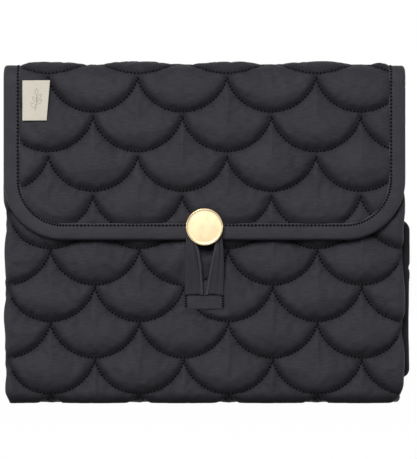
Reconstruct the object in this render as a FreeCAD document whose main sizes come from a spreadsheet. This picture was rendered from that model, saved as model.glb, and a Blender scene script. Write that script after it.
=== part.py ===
import FreeCAD, Part
import Sketcher
import os

# Quilted changing-mat clutch: a padded pouch that holds a folded mat, closed by a padded flap
# that folds over the top and is held by an elastic loop on a metal button.
# Millimetres. +X is to the right, +Y to the back, +Z up. The origin is on the floor, midway
# along the pouch's width and midway between its front and back faces.

doc = FreeCAD.newDocument("changing_clutch")
sheet = doc.addObject("Spreadsheet::Sheet", "Sizes")

SIZES = {
    # the closed clutch
    "clutch_width": 260.0,
    "clutch_height": 220.0,
    # the quilted fabric: face fabric, padding and lining
    "cover_thickness": 1.0,
    "wadding_thickness": 5.0,
    "lining_thickness": 1.0,
    "top_fold_inner": 3.5,
    "bottom_fold_inner": 1.0,
    # pouch
    "pocket_space": 7.0,
    "mouth_drop": 17.0,
    "mouth_binding_height": 9.0,
    "mouth_binding_wall": 0.3,
    "gusset_thickness": 6.0,
    # slip pocket inside the front panel
    "slip_pocket_width": 170.0,
    "slip_pocket_height": 120.0,
    "slip_pocket_base": 24.0,
    "slip_pocket_thickness": 1.0,
    "slip_elastic_height": 8.0,
    "slip_elastic_thickness": 1.8,
    # flap
    "flap_drop": 114.0,
    "flap_gap": 1.5,
    "flap_corner_radius": 39.0,
    "binding_width": 10.5,
    "binding_thickness": 5.0,
    # folded mat
    "mat_leaf_thickness": 4.0,
    "mat_gap": 0.4,
    "mat_base": 12.0,
    "mat_top_room": 3.0,
    "mat_side_room": 6.0,
    "mat_overhang": 4.0,
    "mat_inner_room": 6.0,
    "mat_front_base": 16.0,
    "mat_front_height": 103.0,
    "mat_front_corner": 6.0,
    # button
    "button_rise": 8.5,
    "button_diameter": 24.0,
    "button_thickness": 2.8,
    "button_rim_rise": 0.4,
    "button_rim_width": 1.2,
    "button_edge": 0.6,
    "loop_space": 2.6,
    "rivet_radius": 1.75,
    "rivet_head_step": 1.05,
    "rivet_head_thickness": 0.6,
    "rivet_plate_radius": 4.5,
    "rivet_plate_thickness": 0.7,
    "rivet_clearance": 0.05,
    "collar_wall": 1.4,
    "collar_length": 2.2,
    "collar_seat": 0.9,
    "patch_width": 20.0,
    "patch_height": 9.0,
    "patch_thickness": 0.4,
    # closing loop and the tab that anchors it
    "tab_width": 26.0,
    "tab_height": 8.8,
    "tab_drop": 45.0,
    "tab_thickness": 2.0,
    "bar_stitch_height": 1.0,
    "loop_thickness": 1.2,
    "loop_clearance": 0.3,
    "loop_reach": 8.5,
    "loop_bend_drop": 2.5,
    "elastic_width": 1.5,
    # side label
    "label_width": 18.0,
    "label_height": 26.0,
    "label_top_drop": 11.0,
    "label_thickness": 0.6,
    "label_gap": 0.3,
    # half of the wedge left open between the two halves of a fold, in degrees
    "fold_half_gap": 1.5,
}
for row, (alias, number) in enumerate(SIZES.items(), start=1):
    sheet.set(f"A{row}", alias)
    sheet.set(f"B{row}", str(number))
    sheet.setAlias(f"B{row}", alias)
doc.recompute()


def size(alias):
    """The expression that reads one size from the sheet."""
    return f"Sizes.{alias}"


def number_of(expression):
    """The number that an expression gives, for a shape that Part's own functions make."""
    return float(sheet.evalExpression(expression))


# ---- places worked out from the driving sizes -------------------------------------------------
HALF_WIDTH = "Sizes.clutch_width / 2"
TOP = size("clutch_height")
COVER = size("cover_thickness")
PADDED = "(Sizes.cover_thickness + Sizes.wadding_thickness)"
PANEL = "(Sizes.cover_thickness + Sizes.wadding_thickness + Sizes.lining_thickness)"
POUCH_HALF = (
    f"(2 * {PANEL} + 3 * Sizes.mat_leaf_thickness + Sizes.mat_gap + Sizes.pocket_space) / 2"
)
BACK = f"({POUCH_HALF})"
FRONT = f"(0 - {POUCH_HALF})"
FLAP_BACK = f"({FRONT} - Sizes.flap_gap)"
FLAP_FRONT = f"({FLAP_BACK} - {PANEL})"
FLAP_LOW = "(Sizes.clutch_height - Sizes.flap_drop)"
MOUTH = "(Sizes.clutch_height - Sizes.mouth_drop)"
TOP_FOLD = f"({PANEL} + Sizes.top_fold_inner)"
BOTTOM_FOLD = f"({PANEL} + Sizes.bottom_fold_inner)"
TOP_FOLD_CENTRE = f"({TOP} - {TOP_FOLD})"
HALF_FOLD = 45.0 - SIZES["fold_half_gap"]
BINDING_INSET = f"(({PANEL} - Sizes.binding_thickness) / 2)"
BINDING_FRONT = f"({FLAP_FRONT} + {BINDING_INSET})"
BINDING_BACK = f"({FLAP_BACK} - {BINDING_INSET})"
INNER_HALF = "(Sizes.clutch_width / 2 - Sizes.binding_width)"
INNER_CORNER = "(Sizes.flap_corner_radius - Sizes.binding_width)"
BUTTON_UP = f"({FLAP_LOW} + Sizes.button_rise)"
TAB_LOW = f"({FLAP_LOW} - Sizes.tab_drop)"
LOOP_BEND = f"({FLAP_LOW} - Sizes.loop_bend_drop)"
LOOP_TOP = f"({BUTTON_UP} + Sizes.loop_reach)"
RIVET_HOLE = "(Sizes.rivet_radius + Sizes.rivet_clearance)"
CAP_BACK = f"({FLAP_FRONT} - Sizes.loop_space)"
MAT_BACK = f"({BACK} - {PANEL} - Sizes.mat_gap)"

# each layer of the quilt, with its near and far depth below the outer face
LAYERS = {
    "cover": ("0", COVER),
    "wadding": (COVER, PADDED),
    "lining": (PADDED, PANEL),
}

sub_parts = []


# ---- how the pieces are made ------------------------------------------------------------------
def keep(piece, name):
    """Marks an object as a sub-part, under the name of its file."""
    piece.Label = name
    sub_parts.append(piece)
    return piece


def place(piece, where, rotation=None):
    """Places a piece, with each coordinate tied to the sheet."""
    piece.Placement = FreeCAD.Placement(
        FreeCAD.Vector(*(number_of(at) for at in where)), rotation or FreeCAD.Rotation()
    )
    for letter, at in zip("xyz", where):
        piece.setExpression(f"Placement.Base.{letter}", at)


def block(name, across, deep, up):
    """A box between two places on each axis."""
    piece = doc.addObject("Part::Box", name)
    for prop, (low, high) in zip(("Length", "Width", "Height"), (across, deep, up)):
        piece.setExpression(prop, f"({high}) - ({low})")
    place(piece, (across[0], deep[0], up[0]))
    return piece


def rod(name, radius, centre, length, rotation, angle=360.0):
    """A cylinder, or a sector of one."""
    piece = doc.addObject("Part::Cylinder", name)
    piece.setExpression("Radius", radius)
    piece.setExpression("Height", length)
    piece.Angle = angle
    place(piece, centre, rotation)
    return piece


def cut(name, base, tool):
    piece = doc.addObject("Part::Cut", name)
    piece.Base = base
    piece.Tool = tool
    return piece


def fuse(name, pieces):
    piece = doc.addObject("Part::MultiFuse", name)
    piece.Shapes = pieces
    piece.Refine = True
    return piece


def fold(name, centre, radii, start, sweep):
    """A curved layer across the full width. Its angle runs from straight down to the back,
    up, and round to the front."""
    rotation = FreeCAD.Rotation(FreeCAD.Vector(1, 0, 0), start).multiply(
        FreeCAD.Rotation(FreeCAD.Vector(0, 1, 0), 90)
    )
    where = (f"0 - {HALF_WIDTH}", centre[0], centre[1])
    outer = rod(f"{name}_outside", radii[0], where, size("clutch_width"), rotation, sweep)
    inner = rod(f"{name}_inside", radii[1], where, size("clutch_width"), rotation, sweep)
    return cut(name, outer, inner)


def outline(sketch, corners):
    """A closed outline of straight lines, each corner tied to the sheet."""
    points = [
        FreeCAD.Vector(number_of(across), number_of(up), 0) for across, up in corners
    ]
    for start, end in zip(points, points[1:] + points[:1]):
        sketch.addGeometry(Part.LineSegment(start, end), False)
    for index in range(len(points)):
        following = (index + 1) % len(points)
        sketch.addConstraint(Sketcher.Constraint("Coincident", index, 2, following, 1))
    for index, (corner, point) in enumerate(zip(corners, points)):
        for kind, at, now in zip(("DistanceX", "DistanceY"), corner, (point.x, point.y)):
            number = sketch.addConstraint(Sketcher.Constraint(kind, -1, 1, index, 1, now))
            sketch.setExpression(f"Constraints[{number}]", at)


def new_body(name, plane, corners):
    """A body with one sketch on one of its own origin planes."""
    body = doc.addObject("PartDesign::Body", name)
    sketch = body.newObject("Sketcher::SketchObject", f"{name}_sketch")
    origin_plane = next(
        feature for feature in body.Origin.OriginFeatures if feature.Role == plane
    )
    sketch.AttachmentSupport = [(origin_plane, "")]
    sketch.MapMode = "FlatFace"
    outline(sketch, corners)
    return body, sketch


def plate(name, corners, deep, radius=None):
    """A flat plate facing the front, with its two lower corners rounded where asked."""
    body, sketch = new_body(name, "XZ_Plane", corners)
    pad = body.newObject("PartDesign::Pad", f"{name}_pad")
    pad.Profile = sketch
    pad.setExpression("Length", f"({deep[1]}) - ({deep[0]})")
    place(body, ("0", deep[1], "0"))
    doc.recompute()
    if radius:
        low = min(vertex.Z for vertex in pad.Shape.Vertexes)
        low_corners = [
            f"Edge{index}"
            for index, edge in enumerate(pad.Shape.Edges, start=1)
            if all(abs(vertex.Z - low) < 0.001 for vertex in edge.Vertexes)
            and abs(edge.Vertexes[0].Y - edge.Vertexes[1].Y) > 0.001
        ]
        rounding = body.newObject("PartDesign::Fillet", f"{name}_rounding")
        rounding.Base = (pad, low_corners)
        rounding.setExpression("Radius", radius)
        body.Tip = rounding
    return body


def turned(name, corners, centre):
    """A round piece, turned about a line that runs from the front to the back."""
    body, sketch = new_body(name, "XY_Plane", corners)
    turning = body.newObject("PartDesign::Revolution", f"{name}_turning")
    turning.Profile = sketch
    turning.ReferenceAxis = (sketch, ["V_Axis"])
    turning.Angle = 360.0
    place(body, centre)
    return body


def rectangle(across, up):
    return [(across[0], up[0]), (across[1], up[0]), (across[1], up[1]), (across[0], up[1])]


# ---- pouch: back panel, bottom fold, front panel and side gusset --------------------------------
def back_panel(layer, near, far):
    name = f"back_panel_{layer}"
    straight = block(
        f"{name}_flat",
        (f"0 - {HALF_WIDTH}", HALF_WIDTH),
        (f"{BACK} - {far}", f"{BACK} - {near}"),
        (BOTTOM_FOLD, TOP_FOLD_CENTRE),
    )
    turn = fold(
        f"{name}_turn",
        (f"{BACK} - {TOP_FOLD}", TOP_FOLD_CENTRE),
        (f"{TOP_FOLD} - {near}", f"{TOP_FOLD} - {far}"),
        90.0,
        HALF_FOLD,
    )
    keep(fuse(name, [straight, turn]), name)


def bottom_fold(layer, near, far):
    name = f"bottom_fold_{layer}"
    radii = (f"{BOTTOM_FOLD} - {near}", f"{BOTTOM_FOLD} - {far}")
    flat = block(
        f"{name}_flat",
        (f"0 - {HALF_WIDTH}", HALF_WIDTH),
        (f"{FRONT} + {BOTTOM_FOLD}", f"{BACK} - {BOTTOM_FOLD}"),
        (near, far),
    )
    back_turn = fold(f"{name}_back", (f"{BACK} - {BOTTOM_FOLD}", BOTTOM_FOLD), radii, 0.0, 90.0)
    front_turn = fold(
        f"{name}_front", (f"{FRONT} + {BOTTOM_FOLD}", BOTTOM_FOLD), radii, 270.0, 90.0
    )
    keep(fuse(name, [flat, back_turn, front_turn]), name)


def front_panel(layer, near, far):
    name = f"front_panel_{layer}"
    panel = block(
        name,
        (f"0 - {HALF_WIDTH}", HALF_WIDTH),
        (f"{FRONT} + {near}", f"{FRONT} + {far}"),
        (BOTTOM_FOLD, f"{MOUTH} - Sizes.mouth_binding_height"),
    )
    keep(panel, name)


def mouth_binding():
    """The satin strip folded over the front panel's top edge, with the squeezed quilt in it."""
    strip = block(
        "pocket_mouth_binding",
        (f"0 - {HALF_WIDTH}", HALF_WIDTH),
        (f"{FRONT} + Sizes.mouth_binding_wall", f"{FRONT} + {PANEL} - Sizes.mouth_binding_wall"),
        (f"{MOUTH} - Sizes.mouth_binding_height", MOUTH),
    )
    keep(strip, "pocket_mouth_binding")


def side_gusset():
    """The closed left side, between the front and back panels."""
    strip = block(
        "left_side_gusset",
        (f"0 - {HALF_WIDTH}", f"0 - {HALF_WIDTH} + Sizes.gusset_thickness"),
        (f"{FRONT} + {PANEL}", f"{BACK} - {PANEL}"),
        (BOTTOM_FOLD, MOUTH),
    )
    keep(strip, "left_side_gusset")


def slip_pocket():
    """A flat pocket sewn to the front panel's lining, gathered by elastic at its top edge."""
    half = "Sizes.slip_pocket_width / 2"
    inside = f"{FRONT} + {PANEL}"
    top = "Sizes.slip_pocket_base + Sizes.slip_pocket_height"
    panel = block(
        "slip_pocket_panel",
        (f"0 - {half}", half),
        (inside, f"{inside} + Sizes.slip_pocket_thickness"),
        (size("slip_pocket_base"), top),
    )
    keep(panel, "slip_pocket_panel")
    elastic = block(
        "slip_pocket_elastic",
        (f"0 - {half}", half),
        (inside, f"{inside} + Sizes.slip_elastic_thickness"),
        (top, f"{top} + Sizes.slip_elastic_height"),
    )
    keep(elastic, "slip_pocket_elastic")


# ---- top spine and flap -----------------------------------------------------------------------
def top_spine(layer, near, far):
    name = f"top_spine_{layer}"
    radii = (f"{TOP_FOLD} - {near}", f"{TOP_FOLD} - {far}")
    flat = block(
        f"{name}_flat",
        (f"0 - {HALF_WIDTH}", HALF_WIDTH),
        (f"{FLAP_FRONT} + {TOP_FOLD}", f"{BACK} - {TOP_FOLD}"),
        (f"{TOP} - {far}", f"{TOP} - {near}"),
    )
    back_turn = fold(
        f"{name}_back", (f"{BACK} - {TOP_FOLD}", TOP_FOLD_CENTRE), radii, 180.0 - HALF_FOLD, HALF_FOLD
    )
    front_turn = fold(
        f"{name}_front", (f"{FLAP_FRONT} + {TOP_FOLD}", TOP_FOLD_CENTRE), radii, 180.0, HALF_FOLD
    )
    keep(fuse(name, [flat, back_turn, front_turn]), name)


def flap_panel(layer, near, far):
    name = f"flap_{layer}"
    flat = plate(
        f"{name}_flat",
        rectangle(
            (f"0 - {INNER_HALF}", INNER_HALF),
            (f"{FLAP_LOW} + Sizes.binding_width", TOP_FOLD_CENTRE),
        ),
        (f"{FLAP_FRONT} + {near}", f"{FLAP_FRONT} + {far}"),
        INNER_CORNER,
    )
    turn = fold(
        f"{name}_turn",
        (f"{FLAP_FRONT} + {TOP_FOLD}", TOP_FOLD_CENTRE),
        (f"{TOP_FOLD} - {near}", f"{TOP_FOLD} - {far}"),
        270.0 - HALF_FOLD,
        HALF_FOLD,
    )
    hole = facing_rod(f"{name}_hole", RIVET_HOLE, FLAP_FRONT, FLAP_BACK)
    keep(cut(name, fuse(f"{name}_whole", [flat, turn]), hole), name)


def facing_rod(name, radius, front, back):
    """A cylinder on the button's axis, between two depths."""
    return rod(
        name,
        radius,
        ("0", back, BUTTON_UP),
        f"({back}) - ({front})",
        FreeCAD.Rotation(FreeCAD.Vector(1, 0, 0), 90),
    )


def flap_binding():
    """The satin strip folded over the flap's sides and lower edge, pierced by the rivet."""
    outer = plate(
        "flap_binding_outside",
        rectangle((f"0 - {HALF_WIDTH}", HALF_WIDTH), (FLAP_LOW, TOP_FOLD_CENTRE)),
        (BINDING_FRONT, BINDING_BACK),
        size("flap_corner_radius"),
    )
    inner = plate(
        "flap_binding_inside",
        rectangle(
            (f"0 - {INNER_HALF}", INNER_HALF), (f"{FLAP_LOW} + Sizes.binding_width", TOP)
        ),
        (f"{BINDING_FRONT} - 1", f"{BINDING_BACK} + 1"),
        INNER_CORNER,
    )
    ring = cut("flap_binding_ring", outer, inner)
    hole = facing_rod(
        "flap_binding_hole",
        RIVET_HOLE,
        f"{BINDING_FRONT} - 1",
        f"{BINDING_BACK} + 1",
    )
    keep(cut("flap_binding", ring, hole), "flap_binding")


def button_backing_patch():
    half = "Sizes.patch_width / 2"
    tall = "Sizes.patch_height / 2"
    patch = block(
        "button_patch_plain",
        (f"0 - {half}", half),
        (FLAP_BACK, f"{FLAP_BACK} + Sizes.patch_thickness"),
        (f"{BUTTON_UP} - {tall}", f"{BUTTON_UP} + {tall}"),
    )
    hole = facing_rod(
        "button_patch_hole",
        RIVET_HOLE,
        f"{FLAP_BACK} - 1",
        f"{FLAP_BACK} + 2",
    )
    keep(cut("button_backing_patch", patch, hole), "button_backing_patch")


# ---- button: rivet, collar and cap ----------------------------------------------------------------
CAVITY_RADIUS = f"({RIVET_HOLE} + Sizes.collar_wall)"
CAVITY_DEPTH = "(Sizes.collar_seat + Sizes.rivet_head_thickness + 8 * Sizes.rivet_clearance)"
RIVET_HEAD = "(Sizes.rivet_radius + Sizes.rivet_head_step)"
RIVET_SEAT = f"({FLAP_BACK} + Sizes.patch_thickness)"


def button_rivet():
    """The rivet: a wide plate behind the flap, a shaft, and a head that the button turns on."""
    head_front = f"({CAP_BACK} - {CAVITY_DEPTH} + 4 * Sizes.rivet_clearance - {RIVET_SEAT})"
    head_back = f"({head_front} + Sizes.rivet_head_thickness)"
    corners = [
        ("0", size("rivet_plate_thickness")),
        ("0", head_front),
        (RIVET_HEAD, head_front),
        (RIVET_HEAD, head_back),
        (size("rivet_radius"), head_back),
        (size("rivet_radius"), "0"),
        (size("rivet_plate_radius"), "0"),
        (size("rivet_plate_radius"), size("rivet_plate_thickness")),
    ]
    keep(turned("button_rivet", corners, ("0", RIVET_SEAT, BUTTON_UP)), "button_rivet")


def button_collar():
    """The sleeve pressed into the cap's back, which keeps the rivet's head in the cap."""
    corners = rectangle((RIVET_HOLE, CAVITY_RADIUS), ("0 - Sizes.collar_seat", "Sizes.collar_length"))
    keep(turned("button_collar", corners, ("0", CAP_BACK, BUTTON_UP)), "button_collar")


def button_cap():
    """A flat round cap with a low raised rim and a blind seat in its back."""
    edge = "Sizes.button_diameter / 2"
    front = "0 - Sizes.button_thickness"
    rim_front = "0 - Sizes.button_thickness - Sizes.button_rim_rise"
    corners = [
        ("0", f"0 - {CAVITY_DEPTH}"),
        ("0", front),
        (f"{edge} - Sizes.button_rim_width - Sizes.button_rim_rise", front),
        (f"{edge} - Sizes.button_rim_width", rim_front),
        (f"{edge} - Sizes.button_rim_rise", rim_front),
        (edge, front),
        (edge, "0 - Sizes.button_edge"),
        (f"{edge} - Sizes.button_edge", "0"),
        (CAVITY_RADIUS, "0"),
        (CAVITY_RADIUS, f"0 - {CAVITY_DEPTH}"),
    ]
    keep(turned("button_cap", corners, ("0", CAP_BACK, BUTTON_UP)), "button_cap")


# ---- closing loop ---------------------------------------------------------------------------------
TAB_TOP = f"({TAB_LOW} + Sizes.tab_height)"
BAR_TOP = f"({TAB_TOP} + Sizes.bar_stitch_height)"
LOOP_LOW = f"({BAR_TOP} + Sizes.loop_clearance)"


def loop_tab():
    """The folded end of the satin tape, sewn flat to the front panel, and its bar of stitches."""
    half = "Sizes.tab_width / 2"
    tab = block(
        "loop_anchor_tab",
        (f"0 - {half}", half),
        (f"{FRONT} - Sizes.tab_thickness", FRONT),
        (TAB_LOW, TAB_TOP),
    )
    keep(tab, "loop_anchor_tab")
    bar = block(
        "loop_bar_stitch",
        (f"0 - {half}", half),
        (f"{FRONT} - Sizes.tab_thickness", FRONT),
        (TAB_TOP, BAR_TOP),
    )
    keep(bar, "loop_bar_stitch")


def leaning_slab(name):
    """The space that the loop lies in: it leans forward from the tab, then stands upright in
    front of the flap. Its outline is drawn from the side and runs across the loop's width."""
    low = number_of(LOOP_LOW)
    bend = number_of(LOOP_BEND)
    top = number_of(LOOP_TOP)
    thickness = number_of(size("loop_thickness"))
    clearance = number_of(size("loop_clearance"))
    back_low = number_of(FRONT) - clearance
    back_high = number_of(FLAP_FRONT) - clearance
    profile = [
        (back_low, low),
        (back_high, bend),
        (back_high, top),
        (back_high - thickness, top),
        (back_high - thickness, bend),
        (back_low - thickness, low),
    ]
    reach = number_of(size("tab_width"))
    points = [FreeCAD.Vector(-reach, deep, up) for deep, up in profile]
    side = Part.Face(Part.makePolygon(points + points[:1]))
    slab = doc.addObject("Part::Feature", name)
    slab.Shape = side.extrude(FreeCAD.Vector(2 * reach, 0, 0))
    return slab


def loop_piece(name, outside, inside):
    """A flat loop: the band between two outlines seen from the front, lying in the slab."""
    deep = (f"{CAP_BACK} - 1", FRONT)
    band = cut(f"{name}_band", plate(f"{name}_outside", outside, deep),
               plate(f"{name}_inside", inside, deep))
    piece = doc.addObject("Part::Common", name)
    piece.Base = band
    piece.Tool = leaning_slab(f"{name}_slab")
    keep(piece, name)


def closing_loop():
    """A satin tape that splits into two legs and meets again behind the button, and the elastic
    cord sewn along its inner edge. The right leg is gathered narrow towards the button."""
    half = "Sizes.tab_width / 2"
    low = LOOP_LOW
    over = BUTTON_UP
    top = LOOP_TOP
    tape_outside = [
        (f"0 - {half}", low),
        (f"{half} - 0.6", low),
        (f"{half} - 0.6", f"{LOOP_BEND} - 14"),
        ("9", f"{LOOP_BEND} + 2"),
        ("9", over),
        ("6", top),
        ("0 - 6", top),
        ("0 - 10.5", f"{over} + 3"),
        (f"0 - {half}", LOOP_BEND),
    ]
    seam = [
        ("0.1", f"{low} - 1"),
        ("1.5", f"{low} - 1"),
        ("7", LOOP_BEND),
        ("6", over),
        ("3", f"{top} - 3"),
        ("0 - 3", f"{top} - 3"),
        ("0 - 6", over),
        ("0 - 5", LOOP_BEND),
    ]
    cord = size("elastic_width")
    gap = [
        (f"0.1 + {cord} / 2", f"{low} + 3"),
        (f"7 - {cord}", LOOP_BEND),
        (f"6 - {cord}", over),
        (f"3.4 - {cord}", f"{top} - 3 - {cord}"),
        (f"0 - 3.4 + {cord}", f"{top} - 3 - {cord}"),
        (f"0 - 6 + {cord}", over),
        (f"0 - 5 + {cord}", LOOP_BEND),
    ]
    loop_piece("closure_loop_tape", tape_outside, seam)
    loop_piece("closure_loop_elastic", seam, gap)


# ---- label ----------------------------------------------------------------------------------------
def label_ribbon():
    """A woven label, sewn by its left edge where the binding meets the quilt."""
    sewn = f"0 - {INNER_HALF} + 2"
    top = f"{TOP} - Sizes.label_top_drop"
    ribbon = block(
        "label_ribbon",
        (sewn, f"{sewn} + Sizes.label_width"),
        (
            f"{FLAP_FRONT} - Sizes.label_gap - Sizes.label_thickness",
            f"{FLAP_FRONT} - Sizes.label_gap",
        ),
        (f"{top} - Sizes.label_height", top),
    )
    keep(ribbon, "label_ribbon")


# ---- folded mat -----------------------------------------------------------------------------------
LEAF = size("mat_leaf_thickness")
MAT_LEFT = f"(0 - {HALF_WIDTH} + Sizes.gusset_thickness + Sizes.mat_side_room)"
MAT_RIGHT = f"({HALF_WIDTH} - Sizes.mat_inner_room)"
MAT_TIP = f"({HALF_WIDTH} + Sizes.mat_overhang)"


def mat_fold(name, across, deep, low, tall, start):
    """A half-round turn that joins two leaves."""
    rotation = FreeCAD.Rotation(FreeCAD.Vector(0, 0, 1), start)
    keep(rod(name, LEAF, (across, deep, low), tall, rotation, 180.0), name)


def folded_mat():
    """The mat, folded in three: two tall leaves behind, and a low leaf in front whose bound
    edge stands out of the pouch's open right side."""
    tall = (size("mat_base"), f"{MOUTH} - Sizes.mat_top_room")
    low = (size("mat_front_base"), "Sizes.mat_front_base + Sizes.mat_front_height")
    left = f"{MAT_LEFT} + {LEAF}"
    right = f"{MAT_RIGHT} - {LEAF}"
    first = f"({MAT_BACK} - {LEAF})"
    second = f"({MAT_BACK} - 2 * {LEAF})"
    third = f"({MAT_BACK} - 3 * {LEAF})"
    binding = f"{MAT_TIP} - Sizes.binding_width"
    keep(block("mat_back_leaf", (left, right), (first, MAT_BACK), tall), "mat_back_leaf")
    keep(block("mat_middle_leaf", (left, right), (second, first), tall), "mat_middle_leaf")
    keep(block("mat_front_leaf", (left, binding), (third, second), low), "mat_front_leaf")
    mat_fold("mat_right_fold", right, first, tall[0], f"{tall[1]} - {tall[0]}", -90.0)
    mat_fold("mat_left_fold", left, second, low[0], size("mat_front_height"), 90.0)
    edge = block("mat_edge_plain", (binding, MAT_TIP), (third, second), low)
    doc.recompute()
    tip = max(vertex.X for vertex in edge.Shape.Vertexes)
    rounding = doc.addObject("Part::Fillet", "mat_edge_binding")
    rounding.Base = edge
    radius = number_of(size("mat_front_corner"))
    rounding.Edges = [
        (index, radius, radius)
        for index, side in enumerate(edge.Shape.Edges, start=1)
        if all(abs(vertex.X - tip) < 0.001 for vertex in side.Vertexes)
        and abs(side.Vertexes[0].Y - side.Vertexes[1].Y) > 0.001
    ]
    keep(rounding, "mat_edge_binding")


def write_parts():
    """Checks every object, then writes each sub-part to a file of its own."""
    doc.recompute()
    for item in doc.Objects:
        if {"Invalid", "Error"} & set(item.State):
            raise ValueError(f"{item.Name} failed: {item.State}")
    for piece in sub_parts:
        if piece.Shape.isNull() or not piece.Shape.isValid():
            raise ValueError(f"{piece.Label} has no sound shape")
    os.makedirs("parts", exist_ok=True)
    for piece in sub_parts:
        piece.Shape.exportStep(f"parts/{piece.Label}.step")
        box = piece.Shape.BoundBox
        print(f"{piece.Label:24s} solids {len(piece.Shape.Solids)} volume {piece.Shape.Volume:10.1f}"
              f"  x {box.XMin:.1f}..{box.XMax:.1f}  y {box.YMin:.1f}..{box.YMax:.1f}"
              f"  z {box.ZMin:.1f}..{box.ZMax:.1f}")


for layer_name, (near_face, far_face) in LAYERS.items():
    back_panel(layer_name, near_face, far_face)
    bottom_fold(layer_name, near_face, far_face)
    front_panel(layer_name, near_face, far_face)
    top_spine(layer_name, near_face, far_face)
    flap_panel(layer_name, near_face, far_face)
mouth_binding()
side_gusset()
slip_pocket()
flap_binding()
button_backing_patch()
button_rivet()
button_collar()
button_cap()
loop_tab()
closing_loop()
label_ribbon()
folded_mat()
write_parts()
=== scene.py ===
import math
import bmesh
import bpy
import numpy as np
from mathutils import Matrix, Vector


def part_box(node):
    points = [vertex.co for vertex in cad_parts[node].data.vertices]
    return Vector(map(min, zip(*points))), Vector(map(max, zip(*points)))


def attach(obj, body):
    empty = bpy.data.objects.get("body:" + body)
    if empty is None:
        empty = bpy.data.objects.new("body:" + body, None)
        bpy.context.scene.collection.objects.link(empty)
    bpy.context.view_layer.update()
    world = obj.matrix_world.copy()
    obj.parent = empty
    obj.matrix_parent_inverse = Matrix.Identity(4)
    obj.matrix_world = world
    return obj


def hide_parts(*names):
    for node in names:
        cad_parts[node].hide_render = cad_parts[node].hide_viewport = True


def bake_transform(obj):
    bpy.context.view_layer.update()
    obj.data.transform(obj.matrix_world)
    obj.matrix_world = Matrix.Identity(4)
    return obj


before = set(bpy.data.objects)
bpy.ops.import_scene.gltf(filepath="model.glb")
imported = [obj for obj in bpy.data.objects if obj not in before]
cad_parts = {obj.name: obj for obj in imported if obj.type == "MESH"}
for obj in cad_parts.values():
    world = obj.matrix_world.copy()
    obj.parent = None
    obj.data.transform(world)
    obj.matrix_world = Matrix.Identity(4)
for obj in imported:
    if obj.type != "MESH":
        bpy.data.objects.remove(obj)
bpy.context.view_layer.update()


# ==== Studio ====================================================================================
# A pale floor under the clutch and a plain bright room round it. One soft lamp is above and in
# front, one like it behind, and a weaker one at each side. The camera looks straight at the front.

WHITE_ROOM = (1.0, 1.0, 1.0, 1.0)
VIEW_CENTRE = (0.0026, -0.021, 0.1128)
VIEW_HEIGHT = 0.297
LENS = 250.0
SENSOR = 36.0
FILL_LIGHT = 0.12
FLOOR_GLOW = 1.09
FLOOR_GLOW_SHARE = 0.9
FLOOR_REACH = 12.0
FLOOR_GREY = (0.20, 0.20, 0.20, 1.0)
LAMP_WIDTH = 0.7


def set_inputs(tree, node, inputs):
    """Sets a node's inputs. Each is given a value, or an output that is joined to it."""
    for socket, value in inputs.items():
        if isinstance(value, bpy.types.NodeSocket):
            tree.links.new(value, node.inputs[socket])
        else:
            node.inputs[socket].default_value = value


def add_node(tree, kind, inputs=None, **settings):
    """A node of a kind, with its settings and its inputs."""
    node = tree.nodes.new(f"ShaderNode{kind}")
    for setting, value in settings.items():
        setattr(node, setting, value)
    set_inputs(tree, node, inputs or {})
    return node


def seen_directly(tree):
    """1 for rays from the camera and for mirror and clear rays, 0 for the light that falls on
    the object: the larger of the three ray flags."""
    rays = add_node(tree, "LightPath").outputs
    first = add_node(
        tree, "Math", {0: rays["Is Camera Ray"], 1: rays["Is Glossy Ray"]}, operation="MAXIMUM"
    )
    second = add_node(
        tree, "Math", {0: first.outputs[0], 1: rays["Is Transmission Ray"]}, operation="MAXIMUM"
    )
    return second.outputs[0]


scene = bpy.context.scene
scene.view_settings.view_transform = "Standard"
world = bpy.data.worlds.new("room")
scene.world = world
world.use_nodes = True
room = world.node_tree
room.nodes.clear()
seen = add_node(room, "Background", {"Color": WHITE_ROOM, "Strength": 1.0})
fill = add_node(room, "Background", {"Color": WHITE_ROOM, "Strength": FILL_LIGHT})
room_mix = add_node(
    room, "MixShader", {0: seen_directly(room), 1: fill.outputs[0], 2: seen.outputs[0]}
)
add_node(room, "OutputWorld", {"Surface": room_mix.outputs[0]})


def soft_lamp(name, place, target, width, watts):
    """A square lamp of that width, turned to face a point."""
    light = bpy.data.lights.new(name, "AREA")
    light.shape = "SQUARE"
    light.size = width
    light.energy = watts
    lamp = bpy.data.objects.new(name, light)
    scene.collection.objects.link(lamp)
    lamp.location = place
    aim = np.array(target) - np.array(place)
    lamp.rotation_mode = "QUATERNION"
    lamp.rotation_quaternion = Vector(aim).to_track_quat("-Z", "Y")
    return lamp


middle = (0.0, 0.0, 0.11)
soft_lamp("front_lamp", (-0.25, -1.60, 0.82), middle, LAMP_WIDTH, 26.5)
soft_lamp("left_lamp", (-1.80, 0.0, 0.22), middle, LAMP_WIDTH, 9.0)
soft_lamp("right_lamp", (1.80, 0.0, 0.22), middle, LAMP_WIDTH, 9.0)
soft_lamp("back_lamp", (0.25, 1.90, 0.22), middle, LAMP_WIDTH, 27.0)

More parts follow.
